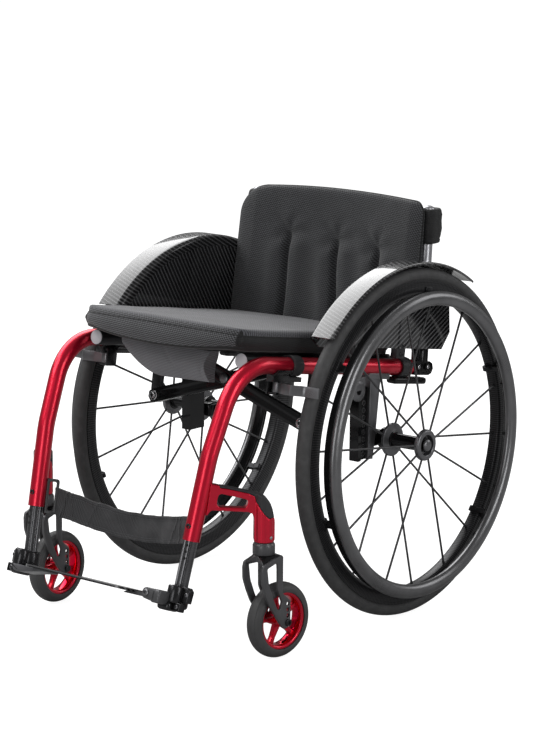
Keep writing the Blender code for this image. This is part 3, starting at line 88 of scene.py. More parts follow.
# The left rear wheel's frame
CAMBER = math.radians(0.5)
WHEEL = Matrix.Translation(PIVOTS["wheel_spin_left"]["pos_m"]) @ Matrix.Rotation(-CAMBER, 4, "Y")
MIRROR = Matrix.Scale(-1, 4, (1, 0, 0))


def feed(tree, socket, term):
    """Links a Value to a socket, or writes a plain number or colour into it."""
    if isinstance(term, Value):
        tree.links.new(term.socket, socket)
    else:
        socket.default_value = term


def reckoned(tree, operation, *terms):
    """The result of a Math node over Values and plain numbers."""
    node = tree.nodes.new("ShaderNodeMath")
    node.operation = operation
    for socket, term in zip(node.inputs, terms):
        feed(tree, socket, term)
    return Value(tree, node.outputs[0])


class Value:
    """A number inside a shader that Python's own signs work on."""

    def __init__(self, tree, socket):
        self.tree = tree
        self.socket = socket

    def through(self, operation, *others):
        """This number put through a Math node's operation."""
        return reckoned(self.tree, operation, self, *others)

    def __add__(self, other):
        return self.through("ADD", other)

    def __radd__(self, other):
        return reckoned(self.tree, "ADD", other, self)

    def __sub__(self, other):
        return self.through("SUBTRACT", other)

    def __rsub__(self, other):
        return reckoned(self.tree, "SUBTRACT", other, self)

    def __mul__(self, other):
        return self.through("MULTIPLY", other)

    def __rmul__(self, other):
        return reckoned(self.tree, "MULTIPLY", other, self)


class Nodes:
    """A node tree, its shader and the ways to wire them."""

    def __init__(self, tree, shader):
        self.tree = tree
        self.shader = tree.nodes[shader]

    def add(self, kind, settings=None, inputs=None, output=0):
        """Adds a node: its settings first, then its sockets' values or links."""
        node = self.tree.nodes.new(kind)
        for key, setting in (settings or {}).items():
            setattr(node, key, setting)
        for key, term in (inputs or {}).items():
            feed(self.tree, self.named(node.inputs, key), term)
        socket = node.outputs[output] if isinstance(output, int) else self.named(node.outputs, output)
        return Value(self.tree, socket)

    def named(self, sockets, key):
        """The socket with a name or an identifier."""
        return next(item for item in sockets if key in (item.identifier, item.name))

    def place(self):
        """The point on the piece, which is also its place on the chair."""
        return self.add("ShaderNodeTexCoord", output="Object")

    def along(self, axis):
        """One coordinate of the piece, in metres."""
        return self.add("ShaderNodeSeparateXYZ", inputs={"Vector": self.place()}, output="XYZ".index(axis))

    def grain(self, scale, detail=2.0, stretch=None, roughness=0.5):
        """Noise between 0 and 1, with a middle of about a half."""
        where = self.place()
        if stretch:
            where = self.add("ShaderNodeMapping", inputs={"Vector": where, "Scale": stretch})
        return self.add("ShaderNodeTexNoise", inputs={"Vector": where, "Scale": scale, "Detail": detail,
                                                      "Roughness": roughness})

    def blend(self, mask, first, second):
        """A colour between two others."""
        first, second = ((*item, 1.0) if isinstance(item, tuple) else item for item in (first, second))
        return self.add("ShaderNodeMix", {"data_type": "RGBA"},
                        {"Factor_Float": mask, "A_Color": first, "B_Color": second}, output="Result_Color")

    def span(self, value, low, high, to_low, to_high):
        """Maps a range of numbers onto another, held at its ends."""
        return self.add("ShaderNodeMapRange", inputs={"Value": value, "From Min": low, "From Max": high,
                                                      "To Min": to_low, "To Max": to_high})

    def wire(self, **links):
        """Links values to the shader's sockets, whose names are given in small letters."""
        for key, value in links.items():
            self.tree.links.new(value.socket, self.shader.inputs[key.replace("_", " ").title()])


class Finish(Nodes):
    """One material on the principled shader."""

    def __init__(self, name, colour, roughness, metallic=0.0, **fixed):
        self.material = bpy.data.materials.new(name)
        self.material.use_nodes = True
        super().__init__(self.material.node_tree, "Principled BSDF")
        self.shader.inputs["Base Color"].default_value = (*colour, 1.0)
        self.shader.inputs["Roughness"].default_value = roughness
        self.shader.inputs["Metallic"].default_value = metallic
        for key, number in fixed.items():
            socket = key.replace("_", " ").title().replace("Ior", "IOR")
            self.shader.inputs[socket].default_value = number
        self.material.diffuse_color = (*colour, 1.0)

    def bump(self, height, strength, distance):
        """Adds a relief, its distance in metres."""
        normal = self.add("ShaderNodeBump",
                          inputs={"Height": height, "Strength": strength, "Distance": distance})
        self.tree.links.new(normal.socket, self.shader.inputs["Normal"])


def toned(colour, share, lift=0.0):
    """A darker or a paler shade of a colour."""
    return tuple(min(1.0, channel * share + lift) for channel in colour)


def candy_paint(name, colour):
    """Deep red over fine flakes, under a clear coat."""
    finish = Finish(name, colour, 0.33, 0.88, coat_weight=0.55, coat_roughness=0.17)
    flakes = finish.grain(3800, 1.0)
    drift = finish.grain(9, 3.0)
    mask = finish.span(flakes * 0.55 + drift * 0.45, 0.38, 0.62, 0.0, 1.0)
    finish.wire(base_color=finish.blend(mask, toned(colour, 0.90), toned(colour, 1.10)),
                roughness=finish.span(flakes, 0.3, 0.7, 0.32, 0.39))
    finish.bump(drift * 0.3 + flakes * 0.02, 0.03, 0.0001)
    return finish.material


def dark_metal(name, colour, low, high, metallic, relief=0.06, **fixed):
    """Anodised or powder-coated metal: a fine grain, with its gloss drifting a little."""
    finish = Finish(name, colour, (low + high) / 2, metallic, **fixed)
    grain = finish.grain(1500, 3.0, roughness=0.65)
    drift = finish.grain(22, 4.0)
    mask = finish.span(drift, 0.35, 0.75, 0.0, 0.6)
    finish.wire(base_color=finish.blend(mask, colour, toned(colour, 1.5, 0.004)),
                roughness=finish.span(grain * 0.5 + drift * 0.5, 0.35, 0.65, low, high))
    finish.bump(grain, relief, 0.0003)
    return finish.material


def turned_metal(name, colour, roughness):
    """Bright metal with the fine lines that a lathe leaves, round the X axis."""
    finish = Finish(name, colour, roughness, 1.0)
    lines = finish.grain(900, 2.0, stretch=(1.0, 0.02, 0.02))
    mask = finish.span(lines, 0.3, 0.7, 0.0, 1.0)
    finish.wire(roughness=finish.span(lines, 0.3, 0.7, roughness * 0.7, roughness * 1.5),
                base_color=finish.blend(mask, toned(colour, 0.82), colour))
    finish.bump(lines, 0.05, 0.0002)
    return finish.material


def rubber(name, centre, colour, pale):
    """Slick tyre rubber: dust on the crown, moulding lines round it and rows of small dimples."""
    finish = Finish(name, colour, 0.62)
    grain = finish.grain(1300, 4.0, roughness=0.7)
    dust = finish.grain(75, 5.0)
    x, y, z = (finish.along(axis) - start for axis, start in zip("XYZ", centre))
    angle = z.through("ARCTAN2", y)
    radius = (y * y + z * z).through("SQRT")
    lines = finish.span((radius * 5200).through("SINE"), 0.75, 1.0, 0.0, 1.0)
    dimples = finish.span((angle * 150).through("SINE"), 0.86, 0.97, 0.0, 1.0)
    off_crown = x.through("ABSOLUTE")
    row = finish.span(off_crown, 0.0050, 0.0056, 0.0, 1.0) * finish.span(off_crown, 0.0064, 0.0070, 1.0, 0.0)
    finish.wire(base_color=finish.blend(finish.span(dust, 0.4, 0.75, 0.0, 1.0), colour, pale),
                roughness=finish.span(grain, 0.3, 0.7, 0.50, 0.78))
    finish.bump(grain * 0.5 + lines * 0.3 - dimples * row * 2.5, 0.35, 0.0004)
    return finish.material


def ribbed(name, centre, colour):
    """Anodised rim: fine ribs stand across its walls, all the way round."""
    finish = Finish(name, colour, 0.34, 0.6)
    grain = finish.grain(1100, 3.0)
    y, z = (finish.along(axis) - start for axis, start in zip("YZ", centre[1:]))
    angle = z.through("ARCTAN2", y)
    ribs = finish.span((angle * 420).through("SINE"), -0.2, 0.6, 0.0, 1.0)
    finish.wire(base_color=finish.blend(ribs, toned(colour, 0.5), toned(colour, 1.5, 0.004)),
                roughness=finish.span(grain, 0.3, 0.7, 0.26, 0.42))
    finish.bump(ribs * 0.8 + grain * 0.2, 0.12, 0.0003)
    return finish.material


def moulded(name, colour, low=0.36, high=0.58):
    """Plain plastic, rubber or thread with a fine grain."""
    finish = Finish(name, colour, (low + high) / 2)
    grain = finish.add("ShaderNodeTexVoronoi", {"feature": "SMOOTH_F1"},
                       {"Vector": finish.place(), "Scale": 1400.0, "Smoothness": 0.6})
    drift = finish.grain(30, 3.0)
    mask = finish.span(drift, 0.3, 0.8, 0.0, 1.0)
    finish.wire(roughness=finish.span(drift, 0.35, 0.65, low, high),
                base_color=finish.blend(mask, colour, toned(colour, 1.6)))
    finish.bump(grain, 0.12, 0.0003)
    return finish.material


def carbon(name, lean, pitch, pale, coat_ior=1.5, clear=None):
    """Twill-woven carbon fibre under a clear coat, with its threads square to the lean.

    The coat thins out from the upper to the lower of the two heights in "clear".
    """
    finish = Finish(name, (0.016, 0.016, 0.018), 0.30, 0.35, coat_weight=1.0, coat_roughness=0.06,
                    coat_ior=coat_ior)
    x, y, z = (finish.along(axis) for axis in "XYZ")
    turns = 2 * math.pi / pitch
    across = (x * lean[0] + y * lean[1] + z * lean[2]) * turns
    down = (z * lean[1] - y * lean[2] + x * (1 - lean[0])) * turns
    thread = finish.span(across.through("SINE"), 0.0, 0.9, 0.0, 1.0)
    stitch = finish.span((down * 1.7 + across * 0.5).through("SINE"), -0.9, 0.1, 0.60, 1.0)
    drift = finish.grain(8, 3.0)
    mask = thread * stitch * finish.span(drift, 0.35, 0.65, 0.75, 1.0)
    finish.wire(base_color=finish.blend(mask, (0.0015, 0.0015, 0.002), (pale, pale, pale * 1.04)),
                roughness=finish.span(thread, 0.0, 1.0, 0.26, 0.42))
    if clear:
        low, high = clear
        height = z + (finish.grain(60, 2.0) - 0.5) * 0.02
        finish.wire(coat_weight=finish.span(height, low, high, 0.12, 1.0))
    finish.bump(thread * 0.5, 0.04, 0.0002)
    return finish.material


def mesh_cloth(name, dark, pale, pitch, plane, relief):
    """Knitted spacer mesh: slanted rows of small open diamonds over a dark ground."""
    finish = Finish(name, dark, 0.86, sheen_weight=0.25, sheen_roughness=0.5)
    across = finish.along(plane[0]) * (math.pi / pitch)
    up = finish.along(plane[1]) * (math.pi / pitch)
    wave = (across + up * 0.8).through("SINE") * (across * 0.35 - up * 1.1).through("SINE")
    yarn = finish.grain(900, 3.0)
    slub = finish.grain(16, 4.0)
    mask = finish.span(wave.through("ABSOLUTE") + yarn * 0.30 - 0.10, 0.26, 0.58, 0.0, 1.0)
    shade = finish.span(slub, 0.3, 0.8, 0.84, 1.1)
    colour = finish.blend(mask * shade, dark, pale)
    finish.wire(base_color=colour, roughness=finish.span(yarn, 0.3, 0.7, 0.78, 0.95))
    finish.bump(mask * 0.8 + yarn * 0.3, relief, 0.0008)
    return finish.material


def webbing(name, dark, pale, pitch, plane):
    """Woven nylon: ribs across, with the fine chevron of its warp."""
    finish = Finish(name, dark, 0.72, sheen_weight=0.15, sheen_roughness=0.45)
    across = finish.along(plane[0]) * (math.pi / pitch)
    up = finish.along(plane[1]) * (math.pi / pitch)
    rib = (up * 2.0 + across.through("PINGPONG", 2.0) * 1.2).through("SINE")
    yarn = finish.grain(1200, 3.0, stretch=(0.4, 1.0, 1.0))
    slub = finish.grain(22, 4.0)
    mask = finish.span(rib * 0.5 + yarn * 0.6 + slub * 0.4, 0.2, 1.1, 0.0, 1.0)
    finish.wire(base_color=finish.blend(mask, dark, pale), roughness=finish.span(yarn, 0.3, 0.7, 0.62, 0.85))
    finish.bump(rib * 0.5 + yarn * 0.4, 0.35, 0.0005)
    return finish.material


MADE = {}


def finish_for(name):
    """The named finish, made when a piece first asks for it."""
    if name not in MADE:
        settings = bpy.context.scene.wheelchair_finishes
        paint = tuple(settings.paint)
        black = tuple(settings.black)
        tyre = tuple(settings.rubber)
        dust = (0.058, 0.058, 0.059)
        dull_black = (0.0015, 0.0015, 0.002)
        weave = settings.weave
        upright = (0, 0.86, 0.51)
        skin = (0.32, 0.45, 0.83)
        recipes = {
            "candy_red": (candy_paint, paint),
            "rim_red": (dark_metal, paint, 0.10, 0.20, 1.0, 0.01),
            "anodised_black": (dark_metal, black, 0.26, 0.40, 0.75),
            "gloss_black": (dark_metal, (0.014, 0.014, 0.015), 0.10, 0.20, 0.6, 0.01),
            "post_black": (dark_metal, (0.105, 0.105, 0.110), 0.20, 0.32, 0.9, 0.02),
            "spoke_grey": (dark_metal, (0.070, 0.070, 0.073), 0.26, 0.38, 0.6, 0.02),
            "fork_black": (dark_metal, (0.084, 0.084, 0.088), 0.30, 0.42, 0.5),
            "clamp_black": (dark_metal, (0.040, 0.040, 0.042), 0.16, 0.30, 0.85, 0.03),
            "graphite": (dark_metal, tuple(settings.graphite), 0.26, 0.42, 0.85),
            "satin_grey": (dark_metal, tuple(settings.handrim), 0.26, 0.34, 0.9, 0.01),
            "hub_grey": (dark_metal, (0.15, 0.15, 0.157), 0.24, 0.38, 0.8, 0.03),
            "pale_metal": (dark_metal, (0.42, 0.42, 0.44), 0.26, 0.40, 0.9, 0.04),
            "bright_metal": (turned_metal, (0.66, 0.66, 0.68), 0.20),
            "rim_left": (ribbed, WHEEL.translation, black),
            "rim_right": (ribbed, MIRROR @ WHEEL.translation, black),
            "tyre_left": (rubber, WHEEL.translation, tyre, dust),
            "tyre_right": (rubber, MIRROR @ WHEEL.translation, tyre, dust),
            "caster_rubber": (moulded, tyre, 0.48, 0.68),
            "plastic": (moulded, (0.018, 0.018, 0.020)),
            "end_plastic": (moulded, (0.055, 0.055, 0.058), 0.34, 0.5),
            "pale_plastic": (moulded, (0.36, 0.36, 0.38), 0.35, 0.5),
            # Painted shade: a near-black matte finish for the discs that stand in for the shade inside holes
            # and recesses
            "bore_black": (moulded, (0.0030, 0.0030, 0.0034), 0.7, 0.9),
            "pale_thread": (moulded, (0.060, 0.060, 0.064), 0.6, 0.8),
            # Painted highlight: the left guard's threads are paler than the right's, standing in for the
            # stronger light on the near panel.
            "carbon_left": (carbon, (0, -0.47, 0.88), weave * 1.48, 0.24),
            "carbon_right": (carbon, upright, weave * 1.48, 0.115),
            "carbon_board": (carbon, upright, weave * 1.4, 0.12),
            "skin_left": (carbon, skin, weave * 1.2, 0.10, 1.62, (0.478, 0.505)),
            "skin_right": (carbon, skin, weave * 1.2, 0.10, 1.43, (0.470, 0.560)),
            "back_mesh": (mesh_cloth, dull_black, (0.049, 0.051, 0.056), weave * 0.86, "XZ", 0.7),
            "seat_mesh": (mesh_cloth, (0.010, 0.010, 0.012), (0.092, 0.093, 0.106), weave * 0.76, "XY", 0.25),
            "front_mesh": (mesh_cloth, (0.002, 0.002, 0.003), (0.094, 0.095, 0.102), weave * 0.78, "XZ", 0.7),
            "side_cloth": (webbing, dull_black, (0.0065, 0.0065, 0.0075), weave * 0.6, "YZ"),
            "strap": (webbing, (0.010, 0.010, 0.011), (0.056, 0.056, 0.060), weave * 0.55, "ZX"),
            "pouch": (webbing, (0.100, 0.100, 0.107), (0.225, 0.226, 0.240), weave * 0.5, "XZ"),
        }
        maker, *terms = recipes[name]
        MADE[name] = maker(name, *terms)
    return MADE[name]


def listed(finishes):
    """The finishes as a list, also where there is one."""
    return [finishes] if isinstance(finishes, str) else finishes


def settle(shape, name, finishes, body, stands_for=(), sharp=40):
    """Makes a piece of a bmesh: its object, finishes, body and the CAD nodes that it stands for."""
    bmesh.ops.remove_doubles(shape, verts=shape.verts, dist=1e-6)
    bmesh.ops.recalc_face_normals(shape, faces=shape.faces)
    mesh = bpy.data.meshes.new(name)
    shape.to_mesh(mesh)
    shape.free()
    mesh.shade_smooth()
    mesh.set_sharp_from_angle(angle=math.radians(sharp))
    for finish in listed(finishes):
        mesh.materials.append(finish_for(finish))
    piece = bpy.data.objects.new(name, mesh)
    bpy.context.scene.collection.objects.link(piece)
    if stands_for:
        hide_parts(*stands_for)
    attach(piece, body)
    return piece


def pair(shape, name, finishes, bodies, node=None, **options):
    """Settles a left piece and its mirrored twin; {} in bodies and finishes stands for the side."""
    twin = placed(shape.copy(), MIRROR)
    made = []
    for side, half in (("left", shape), ("right", twin)):
        chosen = [finish.format(side) for finish in listed(finishes)]
        stands_for = (node + "_" + side,) if node else ()
        made.append(settle(half, name + "_" + side, chosen, bodies.format(side), stands_for, **options))
    return made


def placed(shape, matrix):
    """Moves a bmesh and hands it back."""
    bmesh.ops.transform(shape, matrix=matrix, verts=shape.verts)
    return shape


def merged(*shapes):
    """One bmesh of several."""
    whole = bmesh.new()
    scratch = bpy.data.meshes.new("scratch")
    for shape in shapes:
        shape.to_mesh(scratch)
        whole.from_mesh(scratch)
        shape.free()
    bpy.data.meshes.remove(scratch)
    return whole


def points_in(items):
    """The vertices among what an operator made."""
    return [item for item in items if isinstance(item, bmesh.types.BMVert)]


def edges_in(items):
    """The edges among what an operator made."""
    return [item for item in items if isinstance(item, bmesh.types.BMEdge)]


def softened(shape, edges, radius, segments=2, **options):
    """Rounds some edges of a bmesh."""
    bmesh.ops.bevel(shape, geom=edges, offset=radius, segments=segments, profile=0.5, affect="EDGES",
                    material=-1, **options)
    return shape


def facing(ahead, axis="X", up="Z"):
    """The turn that points an axis along a direction."""
    return ahead.to_track_quat(axis, up).to_matrix().to_4x4()


def revolved(profile, steps, ring=False, start=0.0, sweep=2 * math.pi):
    """Turns a profile of (x, radius) points about the X axis; a ring's profile closes on itself."""
    shape = bmesh.new()
    across, upward = math.cos(start), math.sin(start)
    points = [shape.verts.new((x, radius * across, radius * upward)) for x, radius in profile]
    neighbours = list(zip(points, points[1:]))
    if ring:
        neighbours.append((points[-1], points[0]))
    edges = [shape.edges.new(both) for both in neighbours]
    whole = sweep >= 2 * math.pi - 1e-6
    made = bmesh.ops.spin(shape, geom=points + edges, cent=(0, 0, 0), axis=(1, 0, 0), angle=sweep,
                          steps=steps, use_merge=whole)
    if not whole:
        bmesh.ops.contextual_create(shape, geom=edges_in(made["geom_last"]))
        bmesh.ops.contextual_create(shape, geom=edges)
    return shape


def mirrored(profile):
    """The other half of a profile that is the same on both sides, in the order that closes it."""
    return [(-x, radius) for x, radius in reversed(profile)]


def arc(centre, radii, start, end, steps):
    """Points of an ellipse's arc, in degrees."""
    spots = []
    for k in range(steps + 1):
        angle = math.radians(start + (end - start) * k / steps)
        spots.append((centre[0] + radii[0] * math.cos(angle), centre[1] + radii[1] * math.sin(angle)))
    return spots


def fillet(corner, before, after, radius, steps):
    """Points of an arc that rounds a corner between two straight runs."""
    if radius == 0:
        return [corner]
    into = (before - corner).normalized()
    out = (after - corner).normalized()
    half = into.angle(out) / 2
    reach = radius / math.tan(half)
    middle = corner + (into + out).normalized() * (radius / math.sin(half))
    first = corner + into * reach - middle
    last = corner + out * reach - middle
    sweep = first.angle(last)
    return [middle + (first * math.sin(sweep * (1 - k / steps)) + last * math.sin(sweep * k / steps))
            / math.sin(sweep) for k in range(steps + 1)]


def bent(corners, bends):
    """A path through the corners; bends gives each inner corner's radius and steps."""
    spots = [Vector(corner) for corner in corners]
    path = [spots[0]]
    for before, corner, after, (radius, steps) in zip(spots, spots[1:], spots[2:], bends):
        path += fillet(corner, before, after, radius, steps)
    return path + [spots[-1]]


def rounded(corners, steps=4):
    """A closed outline whose corners (a, b, radius) are rounded."""
    spots = [Vector((a, b)) for a, b, radius in corners]
    outline = []
    for index, (a, b, radius) in enumerate(corners):
        after = spots[(index + 1) % len(spots)]
        outline += fillet(spots[index], spots[index - 1], after, radius, steps)
    return outline


def swept(path, radius, sides=32, wall=0.0):
    """A round bar along a path, or with a wall a tube whose ends are hollow for a short way."""
    mouth = 0.012
    shape = bmesh.new()
    made = bmesh.ops.create_circle(shape, segments=sides, radius=radius)["verts"]
    frames = []
    side = Vector((1, 0, 0))
    for index, spot in enumerate(path):
        ahead = (path[min(index + 1, len(path) - 1)] - path[max(index - 1, 0)]).normalized()
        side = (side - ahead * side.dot(ahead)).normalized()
        turn = Matrix((side, ahead.cross(side), ahead)).transposed().to_4x4()
        frames.append(Matrix.Translation(spot) @ turn)
    bmesh.ops.transform(shape, matrix=frames[0], verts=made)
    first = edges = list(shape.edges)
    for before, after in zip(frames, frames[1:]):
        grown = bmesh.ops.extrude_edge_only(shape, edges=edges)["geom"]
        edges = edges_in(grown)
        bmesh.ops.transform(shape, matrix=after @ before.inverted(), verts=points_in(grown))
    for loop, inward in ((first, frames[1].translation - frames[0].translation),
                         (edges, frames[-2].translation - frames[-1].translation)):
        cap = bmesh.ops.contextual_create(shape, geom=loop)["faces"]
        if wall:
            bmesh.ops.inset_region(shape, faces=cap, thickness=wall, depth=0)
            bmesh.ops.translate(shape, verts=cap[0].verts, vec=inward.normalized() * mouth)
    return shape


def prism(outline, low, high, plane="YZ", rounding=0.0, segments=2):
    """Extrudes an outline between two levels of the third axis, and rounds its rims."""
    place = {"YZ": lambda a, b: (low, a, b), "XY": lambda a, b: (a, b, low),
             "XZ": lambda a, b: (a, low, b)}[plane]
    push = {"YZ": (high - low, 0, 0), "XY": (0, 0, high - low), "XZ": (0, high - low, 0)}[plane]
    shape = bmesh.new()
    face = shape.faces.new([shape.verts.new(place(*spot)) for spot in outline])
    grown = bmesh.ops.extrude_face_region(shape, geom=[face])["geom"]
    bmesh.ops.translate(shape, verts=points_in(grown), vec=push)
    bmesh.ops.recalc_face_normals(shape, faces=shape.faces)
    if rounding:
        rims = [edge for edge in shape.edges if max(len(face.verts) for face in edge.link_faces) > 4
                and min(len(face.verts) for face in edge.link_faces) == 4]
        softened(shape, rims, rounding, segments, clamp_overlap=True)
    return shape


def folds(shape, least):
    """The edges of a bmesh at which its faces turn by more than an angle."""
    return [edge for edge in shape.edges if len(edge.link_faces) == 2 and edge.calc_face_angle(0.0) > least]


def pierced(outer, holes, low, high, rounding):
    """Extrudes an outline with holes in it along X, and rounds its rims."""
    shape = bmesh.new()
    for outline in (outer, *holes):
        spots = [shape.verts.new((low, *spot)) for spot in outline]
        for first, second in zip(spots, spots[1:] + spots[:1]):
            shape.edges.new((first, second))
    bmesh.ops.triangle_fill(shape, use_beauty=True, edges=shape.edges[:], normal=(1, 0, 0))
    grown = bmesh.ops.extrude_face_region(shape, geom=shape.faces[:])["geom"]
    bmesh.ops.translate(shape, verts=points_in(grown), vec=(high - low, 0, 0))
    bmesh.ops.recalc_face_normals(shape, faces=shape.faces)
    return softened(shape, folds(shape, 1.2), rounding)


def wrapped(spots, rounding):
    """The convex solid round a set of points."""
    shape = bmesh.new()
    for spot in spots:
        shape.verts.new(spot)
    bmesh.ops.convex_hull(shape, input=shape.verts[:])
    bmesh.ops.delete(shape, geom=[vert for vert in shape.verts if not vert.link_faces], context="VERTS")
    bmesh.ops.dissolve_limit(shape, angle_limit=0.03, verts=shape.verts[:], edges=shape.edges[:])
    bmesh.ops.recalc_face_normals(shape, faces=shape.faces)
    return softened(shape, folds(shape, 0.9), rounding, 1)


def brick(low, high, rounding, segments=2):
    """A box between two corners, with rounded edges."""
    low, high = Vector(low), Vector(high)
    shape = bmesh.new()
    bmesh.ops.create_cube(shape, size=1.0)
    placed(shape, Matrix.Translation((low + high) / 2) @ Matrix.Diagonal((*(high - low), 1.0)))
    return softened(shape, shape.edges[:], rounding, segments)


def pin(start, end, radius, sides=24, tip=None, rounding=0.0):
    """A cylinder or cone from start to end."""
    start, end = Vector(start), Vector(end)
    shape = bmesh.new()
    bmesh.ops.create_cone(shape, cap_ends=True, segments=sides, radius1=radius,
                          radius2=radius if tip is None else tip, depth=(end - start).length)
    if rounding:
        rims = [edge for edge in shape.edges if max(len(face.verts) for face in edge.link_faces) > 4]
        softened(shape, rims, rounding)
    return placed(shape, Matrix.Translation((start + end) / 2) @ facing(end - start, "Z", "Y"))


def traced(node):
    """A merged copy of a CAD node's mesh."""
    shape = bmesh.new()
    shape.from_mesh(frame["nodes"][node].data)
    bmesh.ops.remove_doubles(shape, verts=shape.verts, dist=2e-5)
    return shape


def eased(node, rounding):
    """A copy of a node with its flat faces whole again and its hard edges rounded."""
    shape = traced(node)
    bmesh.ops.dissolve_limit(shape, angle_limit=math.radians(0.8), verts=shape.verts, edges=shape.edges,
                             use_dissolve_boundaries=False)
    hard = [edge for edge in folds(shape, math.radians(32)) if edge.calc_length() > rounding * 0.8]
    return softened(shape, hard, rounding, clamp_overlap=True)


def cast(node, voxel, passes):
    """A copy of a node with every edge run smooth, as a casting's or moulding's are."""
    shape = traced(node)
    mesh = bpy.data.meshes.new("rough")
    shape.to_mesh(mesh)
    shape.free()
    rough = bpy.data.objects.new("rough", mesh)
    bpy.context.scene.collection.objects.link(rough)
    change = rough.modifiers.new("Voxels", "REMESH")
    change.mode = "VOXEL"
    change.voxel_size = voxel * 1
    graph = bpy.context.evaluated_depsgraph_get()
    result = bpy.data.meshes.new_from_object(rough.evaluated_get(graph))
    bpy.data.objects.remove(rough)
    shape = bmesh.new()
    shape.from_mesh(result)
    bpy.data.meshes.remove(result)
    for _ in range(passes):
        bmesh.ops.smooth_vert(shape, verts=shape.verts, factor=0.5, use_axis_x=True, use_axis_y=True,
                              use_axis_z=True)
    return shape


def on_rail(x, s, h):
    """A point given in the seat rails' frame."""
    return RAIL @ Vector((x, s, h))


def around(radius, degrees, x=0.0):
    """A point round the X axis, its angle counted from the rear upwards."""
    return Vector((x, radius * math.cos(math.radians(degrees)), radius * math.sin(math.radians(degrees))))


def tinted(shape, chooser):
    """Gives each face the finish number that the chooser picks for its middle."""
    for face in shape.faces:
        face.material_index = chooser(face.calc_center_median())
    return shape


def form(columns, rows, layers, place, chooser=None):
    """A padded shape or sheet: a grid given layers, then each point placed by its (u, v, t)."""
    shape = bmesh.new()
    bmesh.ops.create_grid(shape, x_segments=columns, y_segments=rows, size=1.0)
    grown = bmesh.ops.extrude_face_region(shape, geom=shape.faces[:])["geom"]
    bmesh.ops.translate(shape, verts=points_in(grown), vec=(0, 0, 1))
    upright = [edge for edge in shape.edges if abs(edge.verts[0].co.z - edge.verts[1].co.z) > 0.5]
    if layers > 1:
        bmesh.ops.subdivide_edges(shape, edges=upright, cuts=layers - 1, use_grid_fill=True)
    if chooser:
        tinted(shape, lambda middle: chooser(*middle))
    for vert in shape.verts:
        vert.co = place(*vert.co)
    return shape


def screw(centre, ahead, radius, height=0.0025):
    """A screw's rounded head with the round mouth of its socket."""
    ahead = Vector(ahead).normalized()
    shape = revolved([(0, 0), (0, radius), (height * 0.6, radius), (height * 0.9, radius * 0.8),
                      (height, radius * 0.55), (height, radius * 0.5)], 24)
    rim = [edge for edge in shape.edges if edge.is_boundary]
    grown = bmesh.ops.extrude_edge_only(shape, edges=rim)["geom"]
    bmesh.ops.translate(shape, verts=points_in(grown), vec=(-height * 0.7, 0, 0))
    bmesh.ops.contextual_create(shape, geom=edges_in(grown))
    return placed(shape, Matrix.Translation(centre) @ facing(ahead))


def down_tube():
    """The front tube's knee and lower end, and the unit vector down it."""
    knee = Vector((0.1783, SHIFT - 0.4345, 0.335))
    end = Vector((0.170, SHIFT - 0.468, 0.2035))
    return knee, end, (end - knee).normalized()


def back_point(h, x=RAIL_X):
    """A point on the back tube's centre line."""
    return on_rail(x, BACK_FOOT - h * math.tan(BACK_LEAN), h)


def seat_dip(x):
    """How far the sling sags between the seat rods, and the cushion with it."""
    return 0.008 * max(0.0, 1 - (x / 0.146) ** 2)


def caster_frames():
    """The swivelling frames of the left and the right caster, and their wheels' frames."""
    swivels = []
    for side, degrees in (("left", -7), ("right", 1)):
        x, y, _ = PIVOTS["swivel_" + side]["pos_m"]
        swivels.append(Matrix.Translation((x, y, 0)) @ Matrix.Rotation(math.radians(degrees), 4, "Z"))
    rolls = [swivel @ Matrix.Translation((0, CASTER_TRAIL, CASTER_RADIUS)) for swivel in swivels]
    return swivels, rolls


def mirrored_pair(shape, frames, *settings, **options):
    """Settles a local shape in the left frame, and its mirror image in the right frame."""
    local = placed(shape, frames[0])
    made = pair(local, *settings, **options)
    twin = frames[1] @ MIRROR @ frames[0].inverted() @ MIRROR
    made[1].data.transform(twin)
    return made


class WHEELCHAIR_OT_rear_tyres(bpy.types.Operator):
    """Add the slick tyres of the rear wheels"""

    bl_idname = "wheelchair.rear_tyres"
    bl_label = "Rear Tyres"
    bl_options = {"REGISTER", "UNDO"}

    def execute(self, context):
        sizes = context.scene.wheelchair_sizes
        crown = arc((0, 0.2825), (0.0125, 0.0125), 202, -22, 40)
        beads = [(0.0095, 0.2755), (0.0095, 0.2720)]
        profile = mirrored(beads) + crown + beads
        shape = placed(revolved(profile, sizes.wheel_steps, ring=True), WHEEL)
        pair(shape, "slick_tyre", "tyre_{}", "wheel_{}", "rear_tyre", sharp=50)
        return {"FINISHED"}


class WHEELCHAIR_OT_rear_rims(bpy.types.Operator):
    """Add the double-wall rims of the rear wheels, each with its valve"""

    bl_idname = "wheelchair.rear_rims"
    bl_label = "Rear Rims"
    bl_options = {"REGISTER", "UNDO"}

    def execute(self, context):
        sizes = context.scene.wheelchair_sizes
        wall = [(0.0098, 0.2718), (0.0098, 0.2749), (0.0102, 0.2755), (0.0111, 0.2755), (0.0115, 0.2750),
                (0.0115, 0.2713), (0.0111, 0.2708), (0.0111, 0.2641), (0.0115, 0.2636), (0.0115, 0.2572),
                (0.0111, 0.2550), (0.0090, 0.2514), (0.0070, 0.2504)]
        shape = placed(revolved(wall + mirrored(wall), sizes.wheel_steps, ring=True), WHEEL)
        pair(shape, "double_rim", "rim_{}", "wheel_{}", "rear_rim", sharp=35)
        stem = revolved([(0, 0), (0, 0.0030), (0.012, 0.0030), (0.0125, 0.0026), (0.019, 0.0026),
                         (0.0195, 0.0034), (0.030, 0.0034), (0.031, 0.0022), (0.031, 0)], 20)
        inward = Matrix.Rotation(math.radians(90), 4, "Z")
        turn = Matrix.Rotation(math.radians(sizes.valve_angle), 4, "X") @ Matrix.Translation((0, 0.2512, 0))
        pair(placed(stem, WHEEL @ turn @ inward), "tyre_valve", "pale_plastic", "wheel_{}")
        return {"FINISHED"}


